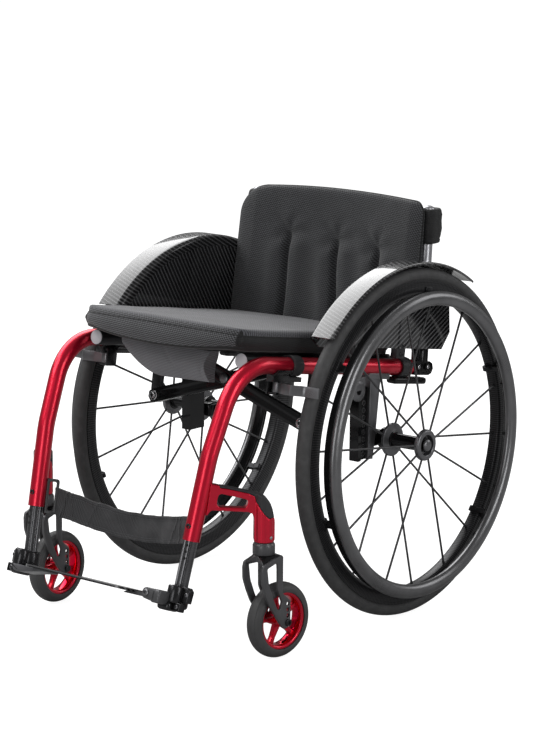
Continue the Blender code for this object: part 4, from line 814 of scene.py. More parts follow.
class WHEELCHAIR_OT_hubs(bpy.types.Operator):
    """Add the hubs with their spokes and nipples"""

    bl_idname = "wheelchair.hubs"
    bl_label = "Hubs and Spokes"
    bl_options = {"REGISTER", "UNDO"}

    def execute(self, context):
        sizes = context.scene.wheelchair_sizes
        inner_flange = [(-0.0400, 0.0065), (-0.0400, 0.0118), (-0.0393, 0.0125), (-0.0375, 0.0150),
                        (-0.0370, 0.0162), (-0.0370, 0.0276), (-0.0362, 0.0285), (-0.0318, 0.0285),
                        (-0.0310, 0.0276), (-0.0302, 0.0150), (-0.0290, 0.0128), (-0.0265, 0.0120)]
        outer_flange = [(0.0265, 0.0120), (0.0290, 0.0128), (0.0302, 0.0150), (0.0310, 0.0256),
                        (0.0318, 0.0265), (0.0370, 0.0265), (0.0386, 0.0257), (0.0396, 0.0243),
                        (0.0400, 0.0228), (0.0400, 0.0184), (0.0393, 0.0175), (0.0300, 0.0166),
                        (0.0290, 0.0160), (0.0290, 0.0065)]
        hub = revolved(inner_flange + outer_flange, 72, ring=True)
        spokes_a_side, hub_radius, rim_radius = 9, 0.0225, 0.2502
        wires = []
        for offset, first in ((0.034, 14), (-0.034, -6)):
            for k in range(spokes_a_side):
                degrees = first + 360 / spokes_a_side * k
                root = around(hub_radius, degrees, offset)
                tip = around(rim_radius, degrees, offset * 0.08)
                line = (tip - root).normalized()
                wires.append(pin(root, tip, sizes.spoke_radius, 10))
                wires.append(pin(tip - line * 0.0125, tip - line * 0.0015, 0.0017, 12, tip=0.0021))
                wires.append(pin(tip - line * 0.0025, tip, 0.0026, 12))
        tinted(hub, lambda middle: 1 if abs(middle.x) > 0.0300 else 0)
        pair(placed(hub, WHEEL), "hub", ("gloss_black", "hub_grey"), "wheel_{}", "rear_hub", sharp=35)
        pair(placed(merged(*wires), WHEEL), "spokes", "spoke_grey", "wheel_{}", sharp=60)
        return {"FINISHED"}


class WHEELCHAIR_OT_handrims(bpy.types.Operator):
    """Add the handrims: an oval grip ring, its inner rail and the tabs that hold it"""

    bl_idname = "wheelchair.handrims"
    bl_label = "Handrims"
    bl_options = {"REGISTER", "UNDO"}

    def execute(self, context):
        sizes = context.scene.wheelchair_sizes
        outline = arc((0.0383, 0.2477), (0.009, 0.012), -128, 118, 30)
        outline += arc((0.0255, 0.2517), (0.006, 0.006), 96, 262, 16)
        ring = revolved(outline, sizes.wheel_steps, ring=True)
        tabs = []
        for k in range(6):
            tab = brick((0.0118, 0.2527, -0.006), (0.0270, 0.2572, 0.006), 0.0012)
            ear = brick((0.0118, 0.2560, -0.0085), (0.0142, 0.2640, 0.0085), 0.0009)
            loop = [(0.0215, 0.2527), (0.0215, 0.2500), (0.0060, 0.2498)]
            loop += arc((-0.0060, 0.2463), (0.0035, 0.0035), 90, 270, 8)
            loop += [(0.0040, 0.2428), (0.0060, 0.2438), (0.0040, 0.2446)]
            loop += arc((-0.0058, 0.2463), (0.0019, 0.0019), 270, 90, 8)
            loop += [(0.0060, 0.2481), (0.0240, 0.2484), (0.0240, 0.2527)]
            hook = prism(loop, -0.0045, 0.0045, "XY", 0.0004, 1)
            tabs.append(placed(merged(tab, ear, hook), Matrix.Rotation(math.radians(22 + 60 * k), 4, "X")))
        tinted(ring, lambda middle: 0 if middle.x > 0.0310 else 1)
        pair(placed(ring, WHEEL), "grip_ring", ("satin_grey", "gloss_black"), "wheel_{}", "handrim", sharp=60)
        pair(placed(merged(*tabs), WHEEL), "grip_tabs", "anodised_black", "wheel_{}", sharp=30)
        return {"FINISHED"}


class WHEELCHAIR_OT_quick_axles(bpy.types.Operator):
    """Add the quick-release axles with their buttons"""

    bl_idname = "wheelchair.quick_axles"
    bl_label = "Quick-Release Axles"
    bl_options = {"REGISTER", "UNDO"}

    def execute(self, context):
        axle = revolved([(-0.084, 0), (-0.084, 0.0050), (-0.083, 0.0062), (0.0290, 0.0062), (0.0295, 0.0098),
                         (0.0300, 0.0104), (0.0330, 0.0104), (0.0335, 0.0098), (0.0335, 0.0034),
                         (0.0160, 0.0032), (0.0160, 0)], 48)
        tinted(axle, lambda middle: 1 if middle.x > 0.028 else 0)
        pair(placed(axle, WHEEL), "axle_pin", ("bright_metal", "gloss_black"), "wheel_{}", "quick_axle",
             sharp=30)
        stem = [(0.0226, 0), (0.0226, 0.0028), (0.0378, 0.0028), (0.0378, 0.0098), (0.0384, 0.0104)]
        dome = arc((0.0400, 0), (0.0040, 0.0104), 90, 0, 8)
        button = revolved(stem + dome, 48)
        pair(placed(button, WHEEL), "push_button", "hub_grey", "button_{}", "release_button", sharp=40)
        return {"FINISHED"}


class WHEELCHAIR_OT_casters(bpy.types.Operator):
    """Add the casters: forks, axles, rims and tyres"""

    bl_idname = "wheelchair.casters"
    bl_label = "Casters"
    bl_options = {"REGISTER", "UNDO"}

    def execute(self, context):
        swivels, rolls = caster_frames()
        # The fork's gloss black is painted shade on the tops of the crown webs.
        mirrored_pair(self.fork(), swivels, "fork", ("fork_black", "gloss_black"), "fork_{}", "caster_fork",
                      sharp=50)
        axle = revolved([(-0.0275, 0), (-0.0275, 0.0048), (-0.0266, 0.0060), (-0.0243, 0.0060),
                         (-0.0243, 0.0039), (0.0243, 0.0039), (0.0243, 0.0060), (0.0262, 0.0060),
                         (0.0268, 0.0050), (0.0268, 0.0028), (0.0250, 0.0026), (0.0250, 0)], 36)
        mirrored_pair(axle, rolls, "caster_bolt", "anodised_black", "fork_{}", "caster_axle", sharp=30)
        self.wheels(rolls)
        return {"FINISHED"}

    def wheels(self, rolls):
        """The tyres with two fine grooves, and the rims with five arms."""
        crown = arc((0, 0.0499), (0.0148, 0.0121), 196, -16, 60)
        for groove in (20, 40):
            x, radius = crown[groove]
            crown[groove] = (x, radius - 0.0007)
        beads = [(0.0118, 0.0470)]
        tyre = revolved(mirrored(beads) + crown + beads, 96, ring=True)
        mirrored_pair(tyre, rolls, "caster_tread", "caster_rubber", "caster_{}", "caster_tyre", sharp=50)

        wall = [(0.0118, 0.0466), (0.0122, 0.0462), (0.0122, 0.0440), (0.0114, 0.0422), (0.0100, 0.0413),
                (0.0060, 0.0398)]
        ring = revolved(wall + mirrored(wall), 96, ring=True)
        tinted(ring, lambda middle: 0 if abs(middle.x) > 0.0095 else 1)
        blade = rounded([(0.0075, -0.0056, 0), (0.0300, -0.0030, 0.02), (0.0412, -0.0046, 0),
                         (0.0412, 0.0046, 0), (0.0300, 0.0030, 0.02), (0.0075, 0.0056, 0)], 5)
        arms = []
        for k in range(5):
            arm = prism(blade, -0.0050, 0.0050, rounding=0.0012)
            arms.append(placed(arm, Matrix.Rotation(math.radians(100 + 72 * k), 4, "X")))
        rim = [(0.0178, 0.0105), (0.0185, 0.0098), (0.0185, 0.0044)]
        nave = revolved(mirrored(rim) + rim, 48, ring=True)
        mirrored_pair(merged(ring, *arms, nave), rolls, "caster_wheel", ("candy_red", "rim_red"), "caster_{}",
                      "caster_rim", sharp=35)

    def fork(self):
        """A fork: two pierced legs, the webs of the crown between them, its collar and its stem; the webs'
        upward faces are painted darker as the shade of the crown's recess.
        """
        outer = rounded([(0.0205, 0.1765, 0.004), (-0.0020, 0.1708, 0.05), (-0.0225, 0.1640, 0.004),
                         (-0.0252, 0.1550, 0.010), (-0.0247, 0.1355, 0.03), (-0.0177, 0.1160, 0.05),
                         (-0.0088, 0.0960, 0.05), (0.0210, 0.0530, 0.010), (0.0375, 0.0530, 0.010),
                         (0.0375, 0.0975, 0.006), (0.0206, 0.1120, 0.008)], 5)
        opening = rounded([(-0.0138, 0.1580, 0.003), (0.0085, 0.1650, 0.004), (0.0092, 0.1530, 0.02),
                           (0.0097, 0.1181, 0.02), (0.0188, 0.0980, 0.004), (0.0155, 0.0870, 0.0015),
                           (0.0090, 0.0870, 0.0025), (-0.0011, 0.1083, 0.04), (-0.0106, 0.1329, 0.04)], 5)
        holes = [arc((CASTER_TRAIL, 0.0732 + 0.0098 * k), (0.0032, 0.0036), 0, 345, 23) for k in range(3)]
        bore = arc((CASTER_TRAIL, CASTER_RADIUS), (0.0043, 0.0043), 0, 345, 23)
        legs = []
        for low, high in ((-0.0240, -0.0190), (0.0190, 0.0240)):
            legs.append(pierced(outer, [opening, bore, *holes], low, high, 0.0008))
        collar = arc((0, 0), (0.0160, 0.0160), 0, 350, 35)
        webs = []
        for side in (-0.0215, 0.0215):
            spots = [(*spot, z) for z in (0.1705, 0.1768) for spot in collar]
            for y, z in ((-0.0205, 0.1575), (-0.0205, 0.1628), (0.0190, 0.1690), (0.0190, 0.1748)):
                spots.append((side, y, z))
            webs.append(wrapped(spots, 0.0005))
            # Painted shade: the webs' upward faces take the darker gloss black, standing in for the shadow in
            # the crown's recess.
            for face in webs[-1].faces:
                face.material_index = 1 if face.normal.z > 0.5 else 0
        stem = revolved([(0.1700, 0), (0.1700, 0.0160), (0.1766, 0.0160), (0.1768, 0.0172),
                         (0.1776, 0.0180), (0.1920, 0.0180), (0.1935, 0.0174), (0.1950, 0.0160),
                         (0.1960, 0.0160), (0.1967, 0.0150), (0.1967, 0.0060), (0.2310, 0.0060),
                         (0.2318, 0.0050), (0.2318, 0)], 48)
        placed(stem, Matrix.Rotation(math.radians(-90), 4, "Y"))
        return merged(*legs, *webs, stem)


class WHEELCHAIR_OT_side_tubes(bpy.types.Operator):
    """Add the bent side tubes with their bolts"""

    bl_idname = "wheelchair.side_tubes"
    bl_label = "Side Tubes"
    bl_options = {"REGISTER", "UNDO"}

    def execute(self, context):
        sizes = context.scene.wheelchair_sizes
        knee, end, down = down_tube()
        path = bent([on_rail(RAIL_X, 0.077, 0), on_rail(RAIL_X, -0.380, 0), knee, end],
                    [(0.092, sizes.bend_steps), (0.15, 8)])
        shape = swept(path, 0.014, 48, wall=0.0025)
        pair(shape, "side_tube", "candy_red", "{}_frame", "frame_tube", sharp=45)
        bolt = screw(end - down * 0.026 + Vector((0, -0.0136, 0)), (0, -1, -0.15), 0.0048)
        pair(bolt, "tube_bolt", "anodised_black", "{}_frame", sharp=35)
        return {"FINISHED"}


class WHEELCHAIR_OT_caster_arms(bpy.types.Operator):
    """Add the cast caster arms with their dark covers"""

    bl_idname = "wheelchair.caster_arms"
    bl_label = "Caster Arms"
    bl_options = {"REGISTER", "UNDO"}

    def execute(self, context):
        pair(cast("caster_arm_left", 0.0009, 5), "cast_arm", "candy_red", "{}_frame", "caster_arm", sharp=70)
        pair(cast("caster_cap_left", 0.0008, 4), "arm_cover", "plastic", "{}_frame", "caster_cap", sharp=70)
        x, y, _ = PIVOTS["swivel_left"]["pos_m"]
        grub = screw((x + 0.0160, y - 0.0020, 0.2055), (0.99, -0.12, 0), 0.0026, 0.0018)
        pair(grub, "grub_screw", "pale_metal", "{}_frame", sharp=40)
        return {"FINISHED"}


class WHEELCHAIR_OT_frame_fittings(bpy.types.Operator):
    """Add the cradles, hangers, axle brackets, back brackets and brakes on the side tubes"""

    bl_idname = "wheelchair.frame_fittings"
    bl_label = "Frame Fittings"
    bl_options = {"REGISTER", "UNDO"}

    def execute(self, context):
        for place in ("front", "rear"):
            pair(eased(f"cradle_{place}_left", 0.0007), f"cradle_cup_{place}", "plastic", "{}_frame",
                 "cradle_" + place, sharp=50)
        for side in ("left", "right"):
            settle(eased("hanger_" + side, 0.0006), "pivot_hanger_" + side, "anodised_black", side + "_frame",
                   ("hanger_" + side,), sharp=50)
        self.axle_carriers()
        shoe = brick((RAIL_X - 0.011, 0.030, -0.0285), (RAIL_X + 0.011, 0.121, -0.0165), 0.005, 4)
        pair(placed(shoe, RAIL), "rail_shoe", "gloss_black", "{}_frame", sharp=60)
        pair(eased("back_bracket_left", 0.0008), "back_socket", "gloss_black", "{}_frame", "back_bracket",
             sharp=50)
        # The dark discs under the screws are painted shade standing in for their recesses.
        discs, heads = [], []
        for y, z in ((SHIFT + 0.1080, 0.4029), (SHIFT + 0.0826, 0.4062)):
            discs.append(pin((0.2030, y, z), (0.2048, y, z), 0.0058, 32, rounding=0.0005))
            heads.append(screw((0.2047, y, z), (1, 0, 0), 0.0034, 0.0016))
        pair(merged(*discs), "socket_discs", "bore_black", "{}_frame", sharp=40)
        pair(merged(*heads), "socket_screws", "bright_metal", "{}_frame", sharp=40)
        pair(eased("brake_clamp_left", 0.0006), "brake_mount", "clamp_black", "{}_frame", "brake_clamp",
             sharp=50)
        pair(eased("brake_arm_left", 0.0004), "brake_lever", "hub_grey", "brake_{}", "brake_arm", sharp=50)
        return {"FINISHED"}

    def axle_carriers(self):
        """The channels under the rails, each with its post, its ear and the sleeve of the wheel's axle."""
        front, rear = SHIFT - 0.0735, SHIFT - 0.0350
        inside, groove, outside = 0.1775, 0.1905, 0.1965
        channel = prism([(inside, front), (outside, front), (outside, front + 0.0075),
                         (groove, front + 0.0075), (groove, rear - 0.0060), (outside, rear - 0.0060),
                         (outside, rear), (inside, rear)], 0.2655, 0.3880, "XY", rounding=0.0007)
        edge = [(-0.0430, 0.4080, 0), (-0.0120, 0.4030, 0), (-0.0164, 0.3900, 0.02), (-0.0207, 0.3550, 0.03),
                (-0.0264, 0.3085, 0.03), (-0.0339, 0.2643, 0), (-0.0480, 0.2660, 0), (-0.0445, 0.3416, 0.03)]
        outline = rounded([(SHIFT + y, z, radius) for y, z, radius in edge])
        post = prism(outline, 0.1850, 0.1972, rounding=0.0010)
        cap = placed(brick((0.1765, -0.0460, -0.0200), (0.1985, 0.0110, -0.0100), 0.0012), RAIL)
        ear = revolved([(0.1965, 0.0064), (0.1965, 0.0165), (0.1973, 0.0175), (0.1987, 0.0175),
                        (0.1995, 0.0165), (0.1995, 0.0064)], 40, ring=True)
        placed(ear, Matrix.Translation((0, SHIFT - 0.0771, 0.3875)))
        lug = brick((0.1955, SHIFT - 0.0925, 0.3880), (0.1992, SHIFT - 0.0600, 0.4100), 0.0008)
        arm = brick((0.1700, SHIFT - 0.0300, 0.2830), (0.1930, SHIFT + 0.0050, 0.3070), 0.0040, 3)
        sleeve = revolved([(-0.0826, 0.0066), (-0.0826, 0.0128), (-0.0819, 0.0135), (-0.0526, 0.0135),
                           (-0.0526, 0.0178), (-0.0519, 0.0185), (-0.0440, 0.0185), (-0.0408, 0.0145),
                           (-0.0408, 0.0066)], 48, ring=True)
        dark = tinted(merged(channel, arm, placed(sleeve, WHEEL)), lambda middle: 1)
        pair(merged(post, cap, ear, lug, dark), "axle_carrier", ("graphite", "gloss_black"), "{}_frame",
             "axle_bracket", sharp=40)
        column = SHIFT - 0.0535
        lip = [(0.1903, 0.0033), (0.1916, 0.0036), (0.1916, 0.0043), (0.1903, 0.0047)]
        # The bores are dark discs: painted shade standing in for the axle holes, each with a grey ring round
        # it.
        bore_shades, rings = [], []
        for k in range(8):
            height = 0.2755 + 0.0125 * k
            bore_shades.append(pin((0.1900, column, height), (0.1911, column, height), 0.0034, 20))
            rings.append(placed(revolved(lip, 24, ring=True), Matrix.Translation((0, column, height))))
        pair(merged(*bore_shades), "carrier_bores", "bore_black", "{}_frame", sharp=40)
        pair(merged(*rings), "carrier_rings", "graphite", "{}_frame", sharp=40)


class WHEELCHAIR_OT_cross_brace(bpy.types.Operator):
    """Add the cross bars with their bolt, and the seat tubes with their end caps"""

    bl_idname = "wheelchair.cross_brace"
    bl_label = "Cross Brace"
    bl_options = {"REGISTER", "UNDO"}

    def execute(self, context):
        along = RAIL.to_3x3() @ Vector((0, 1, 0))
        for letter, side, x, s in (("a", "left", HANGER_X, -0.1842), ("b", "right", -HANGER_X, -0.1642)):
            front = on_rail(x, s, HANGER_H)
            bar = eased("cross_bar_" + letter, 0.0014)
            tinted(bar, lambda middle: 1 if self.in_end(middle, x) else 0)
            settle(bar, "brace_bar_" + letter, ("gloss_black", "end_plastic"), "brace_" + letter,
                   ("cross_bar_" + letter,), sharp=50)
            ring = pin(front, front - along * 0.0016, 0.0088, 32, rounding=0.0004)
            bolt = screw(front - along * 0.0016, -along, 0.0060, 0.003)
            settle(merged(ring, bolt), "pivot_washer_" + letter, "bright_metal", side + "_frame", sharp=40)
        settle(eased("cross_bolt", 0.0005), "brace_bolt", "graphite", "brace_b", ("cross_bolt",), sharp=50)
        for side, x, body in (("left", SEAT_ROD_X, "brace_b"), ("right", -SEAT_ROD_X, "brace_a")):
            front = on_rail(x, -0.3372, 0.003)
            rear = on_rail(x, 0.0692, 0.003)
            settle(pin(front, rear, 0.013, 48, rounding=0.0006), "seat_rod_" + side, "anodised_black", body,
                   ("seat_tube_" + side,), sharp=40)
            caps = merged(pin(front - along * 0.0017, front, 0.0122, 48, rounding=0.0006),
                          pin(rear, rear + along * 0.0017, 0.0122, 48, rounding=0.0006))
            settle(caps, "rod_caps_" + side, "pale_plastic", body, sharp=40)
        return {"FINISHED"}

    def in_end(self, spot, x):
        """Whether a point lies in the moulded end of a bar, round its lower pivot."""
        pivot = on_rail(x, 0, HANGER_H)
        return math.hypot(spot.x - pivot.x, spot.z - pivot.z) < 0.030


class WHEELCHAIR_OT_sideguards(bpy.types.Operator):
    """Add the carbon sideguards, each with the mudguard flange over its tyre"""

    bl_idname = "wheelchair.sideguards"
    bl_label = "Sideguards"
    bl_options = {"REGISTER", "UNDO"}

    def execute(self, context):
        sizes = context.scene.wheelchair_sizes
        middle = Matrix.Translation((0, SHIFT, WHEEL.translation.z))
        # The flange's arc over the axle, in degrees from the rear upwards
        start, end = 57, 137
        wall = rounded([(0.2065, 0.2865, 0), (0.2095, 0.2865, 0), (0.2095, 0.3025, 0.0075),
                        (0.2545, 0.3030, 0.0012), (0.2555, 0.3000, 0.0008), (0.2563, 0.3008, 0.0005),
                        (0.2555, 0.3055, 0.0018), (0.2065, 0.3055, 0.0105)], 5)
        flange = revolved(wall, sizes.guard_steps, ring=True, start=math.radians(start),
                          sweep=math.radians(end - start))
        top = arc((0, 0), (0.2925, 0.2925), end, start, sizes.guard_steps)
        front = RAIL.inverted() @ (middle @ Vector((0, *top[0])))
        rear = RAIL.inverted() @ (middle @ Vector((0, *top[-1])))
        low = [on_rail(0, rear.y + 0.0174, 0.064), on_rail(0, rear.y - 0.0016, 0.034),
               on_rail(0, front.y + 0.0173, 0.034)]
        outline = [(SHIFT + a, WHEEL.translation.z + b) for a, b in top] + [(spot.y, spot.z) for spot in low]
        panel = prism(outline, 0.2067, 0.2093)
        feet = []
        for near, far in ((-0.112, -0.088), (0.010, 0.034)):
            feet.append(placed(brick((0.195, near, 0.0166), (0.2086, far, 0.046), 0.0012), RAIL))
            for h in (0.024, 0.038):
                feet.append(screw(on_rail(0.2086, (near + far) / 2, h), (1, 0, 0), 0.0038, 0.002))
        tinted(flange, lambda middle: 1)
        for foot in feet:
            tinted(foot, lambda middle: 2)
        shape = merged(placed(flange, middle), panel, *feet)
        # The left guard's paler carbon threads are a painted highlight.
        pair(shape, "guard", ("carbon_{}", "skin_{}", "plastic"), "{}_frame", "sideguard", sharp=40)
        return {"FINISHED"}


class WHEELCHAIR_OT_back_tubes(bpy.types.Operator):
    """Add the back tubes"""

    bl_idname = "wheelchair.back_tubes"
    bl_label = "Back Tubes"
    bl_options = {"REGISTER", "UNDO"}

    def execute(self, context):
        low, high = back_point(0.0025), back_point(0.278)
        radius, cap = 0.011, 0.006
        dome = arc(((high - low).length - cap, 0), (cap, radius), 90, 0, 8)
        post = revolved([(0, 0), (0, radius)] + dome, 48)
        placed(post, Matrix.Translation(low) @ facing(high - low))
        pair(post, "back_post", "pale_metal", "{}_frame", "back_tube", sharp=40)
        return {"FINISHED"}


class WHEELCHAIR_OT_footrest(bpy.types.Operator):
    """Add the telescopic tubes, the clamps and the footplate"""

    bl_idname = "wheelchair.footrest"
    bl_label = "Footrest"
    bl_options = {"REGISTER", "UNDO"}

    def execute(self, context):
        hinge = Matrix.Translation(PIVOTS["plate_flip"]["pos_m"]) @ Matrix.Rotation(math.radians(-20), 4, "X")
        _, end, down = down_tube()
        self.posts(end, down)
        self.clamps(hinge, end + down * 0.094, down)
        board = eased("footplate", 0.0008)
        tinted(board, lambda middle: self.board_finish(hinge.inverted() @ middle))
        settle(board, "foot_board", ("carbon_board", "fork_black"), "flip_plate", ("footplate",), sharp=50)
        return {"FINISHED"}

    def board_finish(self, spot):
        """Carbon on the board, black on its hinge and on the rib under it."""
        return 1 if spot.x > -0.0305 or spot.z < -0.0046 else 0

    def posts(self, end, down):
        """The fluted tubes, each with a row of dark discs in front, painted shade that stands in for the
        adjusting holes.
        """
        turn = facing(down, "Z", "Y")
        flute = turn.inverted() @ Vector((0.628, -0.778, 0))
        first = math.degrees(math.atan2(flute.y, flute.x))
        outline = []
        for degrees in range(0, 360, 4):
            off = (degrees - first + 30) % 60 - 30
            radius = 0.0110 - 0.0019 * math.exp(-(off / 8.0) ** 4)
            angle = math.radians(degrees)
            outline.append((radius * math.cos(angle), radius * math.sin(angle)))
        post = placed(prism(outline, -0.070, 0.112, "XY"), Matrix.Translation(end) @ turn)
        pair(post, "foot_post", "post_black", "{}_frame", "foot_tube", sharp=30)
        level = Vector((0.206, -0.978, 0))
        ahead = (level - down * level.dot(down)).normalized()
        # Painted shade: dark discs in place of the adjusting holes
        holes = []
        for k in range(3):
            spot = end + down * (0.0075 + 0.0105 * k)
            holes.append(pin(spot + ahead * 0.0085, spot + ahead * 0.0112, 0.0025, 24, rounding=0.0002))
        pair(merged(*holes), "post_holes", "bore_black", "{}_frame", sharp=40)

    def clamps(self, hinge, seat, down):
        """The shells that grip the tubes, with their ears and bolts, and what carries the plate."""
        grip = revolved([(-0.0190, 0.0113), (-0.0190, 0.0150), (-0.0178, 0.0162), (-0.0150, 0.0167),
                         (0.0115, 0.0167), (0.0137, 0.0161), (0.0150, 0.0147), (0.0150, 0.0113)],
                        64, ring=True)
        placed(grip, Matrix.Translation(seat) @ facing(down))
        shell = pin((0.0279, 0.0165, -0.0070), (0.0279, 0.0165, 0.0205), 0.0130, 64, rounding=0.0020)
        under = brick((0.0080, 0.0, -0.0205), (0.0340, 0.0300, -0.0060), 0.0060, 5)
        box = brick((0.0250, 0.0095, -0.0190), (0.0485, 0.0240, -0.0050), 0.0016, 3)
        front = [face for face in box.faces if face.normal.y < -0.99]
        bmesh.ops.inset_region(box, faces=front, thickness=0.0016, depth=-0.0022)
        ears = prism([(0.0345, -0.0045), (0.0510, -0.0030), (0.0518, 0.0160), (0.0465, 0.0215),
                      (0.0345, 0.0215)], 0.0200, 0.0340, "XZ", rounding=0.0012, segments=3)
        local = placed(merged(shell, under, box, ears), hinge)
        pair(merged(grip, local), "foot_clamp", "clamp_black", "{}_frame", "footrest_clamp", sharp=50)
        bolts = [screw((0.0408, 0.0117, -0.0118), (0, -1, 0), 0.0036, 0.0024),
                 screw((0.0482, 0.0200, 0.0095), (0, -1, 0), 0.0034, 0.0016)]
        pair(placed(merged(*bolts), hinge), "clamp_bolts", "graphite", "{}_frame", sharp=40)

        root = brick((0.0110, -0.0205, -0.0130), (0.0280, 0.0240, 0.0088), 0.0035, 4)
        cheek = rounded([(-0.0085, -0.0085, 0.0080), (0.0180, -0.0120, 0.003), (0.0180, 0.0085, 0.003),
                         (-0.0085, 0.0085, 0.0080)], 8)
        cheeks = [prism(cheek, *span, "XZ", rounding=0.0013, segments=3)
                  for span in ((-0.0205, -0.0104), (0.0104, 0.0205))]
        axle = pin((0, -0.0200, 0), (0, 0.0200, 0), 0.0029, 20)
        settle(placed(merged(root, *cheeks, axle), hinge), "hinge_lug", "fork_black", "left_frame", sharp=50)
        heads = merged(screw((0, -0.0204, 0), (0, -1, 0), 0.0056, 0.0026),
                       screw((0, 0.0204, 0), (0, 1, 0), 0.0050, 0.0018))
        settle(placed(heads, hinge), "hinge_pin", "graphite", "left_frame", sharp=40)
        wing = prism(rounded([(0.0120, -0.0046, 0.003), (-0.0580, -0.0046, 0), (-0.0580, -0.0066, 0),
                              (-0.0050, -0.0160, 0.03), (0.0120, -0.0150, 0.009)]),
                     -0.0180, 0.0180, "XZ", rounding=0.0020, segments=3)
        settle(placed(placed(wing, hinge), MIRROR), "plate_wing", "graphite", "right_frame", sharp=50)


class WHEELCHAIR_OT_calf_strap(bpy.types.Operator):
    """Add the webbing strap behind the legs, with its hems, and the loops that hold it"""

    bl_idname = "wheelchair.calf_strap"
    bl_label = "Calf Strap"
    bl_options = {"REGISTER", "UNDO"}

    def execute(self, context):
        sizes = context.scene.wheelchair_sizes
        pair(eased("strap_loop_left", 0.0009), "strap_ring", "plastic", "{}_frame", "strap_loop", sharp=50)
        _, end, down = down_tube()
        inward = Vector((-0.82, 0.57, 0)).normalized()
        side_way = inward.cross(down).normalized()
        inward = down.cross(side_way).normalized()
        turn = Matrix((inward, side_way, -down)).transposed().to_4x4()
        edge = (Matrix.Translation(end - down * 0.019) @ turn) @ Vector((0.0283, 0, -0.006))
        lean = Vector((0, -down.y, -down.z)).normalized()
        sag, half_width = 0.022, 0.0218

        def place(u, v, t):
            """u runs from ring to ring, v up the webbing and t from its front to its back."""
            swell = math.cos(u * math.pi / 2)
            near_ring = (0.0012 + 0.005 * max(0.0, abs(u) - 0.7)) * (1.2 - swell)
            ripple = near_ring * noise.noise(Vector((u * 11 + v, v * 0.9, 0.3)))
            ripple += 0.0042 * (1 - u ** 4) * noise.noise(Vector((u * 7 + v * 0.5, v * 0.8, 1.7)))
            fold = 0.0026 * math.exp(-((abs(u) - 0.86 + 0.02 * v) / 0.012) ** 2)
            fold += 0.0016 * math.exp(-((abs(u) - 0.76 - 0.03 * v) / 0.010) ** 2)
            fold += 0.0010 * math.exp(-((u + 0.50 - 0.05 * v) / 0.012) ** 2)
            hem = 0.0006 if abs(v) > 0.80 else 0.0
            centre = Vector((u * edge.x, edge.y + sag * swell, edge.z - sag * swell))
            thick = (0.00105 + hem + fold) * (2 * t - 1)
            return centre + lean * (half_width * v) + Vector((0, thick + ripple, 0))

        band = form(180, 24, 2, place)
        strap = settle(band, "leg_strap", "strap", "left_frame", ("calf_strap",), sharp=50)
        sewn, proud = 0.82, Vector((0, -0.0002, 0))
        pitch = 2 * sewn / sizes.stitches
        threads = []
        for v in (-0.86, -0.70, 0.70, 0.86):
            for k in range(sizes.stitches):
                u = -sewn + pitch * (k + 0.15)
                start, finish = (place(along, v, 0) + proud for along in (u, u + pitch * 0.6))
                threads.append(pin(start, finish, 0.00035, 6))
        stitching = settle(merged(*threads), "strap_stitches", "pale_thread", "left_frame", sharp=60)
        for piece in (strap, stitching):
            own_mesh(piece)
        return {"FINISHED"}


class WHEELCHAIR_OT_sling(bpy.types.Operator):
    """Add the seat sling with its front pouch"""

    bl_idname = "wheelchair.sling"
    bl_label = "Seat Sling"
    bl_options = {"REGISTER", "UNDO"}

    def execute(self, context):
        top, front, rear = 0.0163, -0.333, 0.0535
        half_width = 0.162

        def cloth(u, v, t):
            """u runs across the sling, v back along it and t up through its layers."""
            x = u * half_width
            s = front + (rear - front) * (v + 1) / 2
            pull = 0.0006 * noise.noise(Vector((u * 5, v * 9, 2.0)))
            return on_rail(x, s, top - seat_dip(x) + 0.0023 * t + 0.0001 + pull * (1 - u * u))

        def pouch(u, v, t):
            """u runs across the pouch from its thin end, v down it and t from its front to its back."""
            drop = (v + 1) / 2
            along = min(1.0, u + 1)
            length = 0.010 + 0.044 * math.sin(along * math.pi / 2) ** 0.9 - 0.003 * max(0.0, u)
            belly = (0.25 + 0.75 * along) * math.sin(math.pi * (0.14 + 0.78 * drop)) ** 0.8
            crease = noise.noise(Vector((u * 2.4 + drop, drop * 2.2, 4.0 + 2 * t))) * 0.0030
            fold = 0.0022 * math.exp(-((u - 0.78 - 0.10 * drop) / 0.035) ** 2)
            fold += 0.0016 * math.exp(-((u + 0.10 - 0.55 * drop) / 0.05) ** 2)
            depth = (0.003 + 0.012 * belly) * (2 * t - 1)
            x = -0.020 + u * 0.100 - 0.009 * max(0.0, u) ** 8 * math.sin(math.pi * drop)
            h = top - 0.007 - length * drop
            return on_rail(x, front + 0.022 + depth + (crease + fold * (1 - 2 * t)) * belly, h)

        sheet = form(48, 64, 1, cloth)
        bag = form(96, 40, 3, pouch)
        lid = placed(brick((-0.080, front + 0.0192, 0.0058), (0.040, front + 0.0248, 0.0096), 0.0005), RAIL)
        sling = settle(merged(sheet, lid), "sling", "side_cloth", "seat", ("seat_sling",), sharp=50)
        pocket = settle(bag, "pouch", "pouch", "seat", sharp=70)
        for piece in (sling, pocket):
            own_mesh(piece)
        return {"FINISHED"}


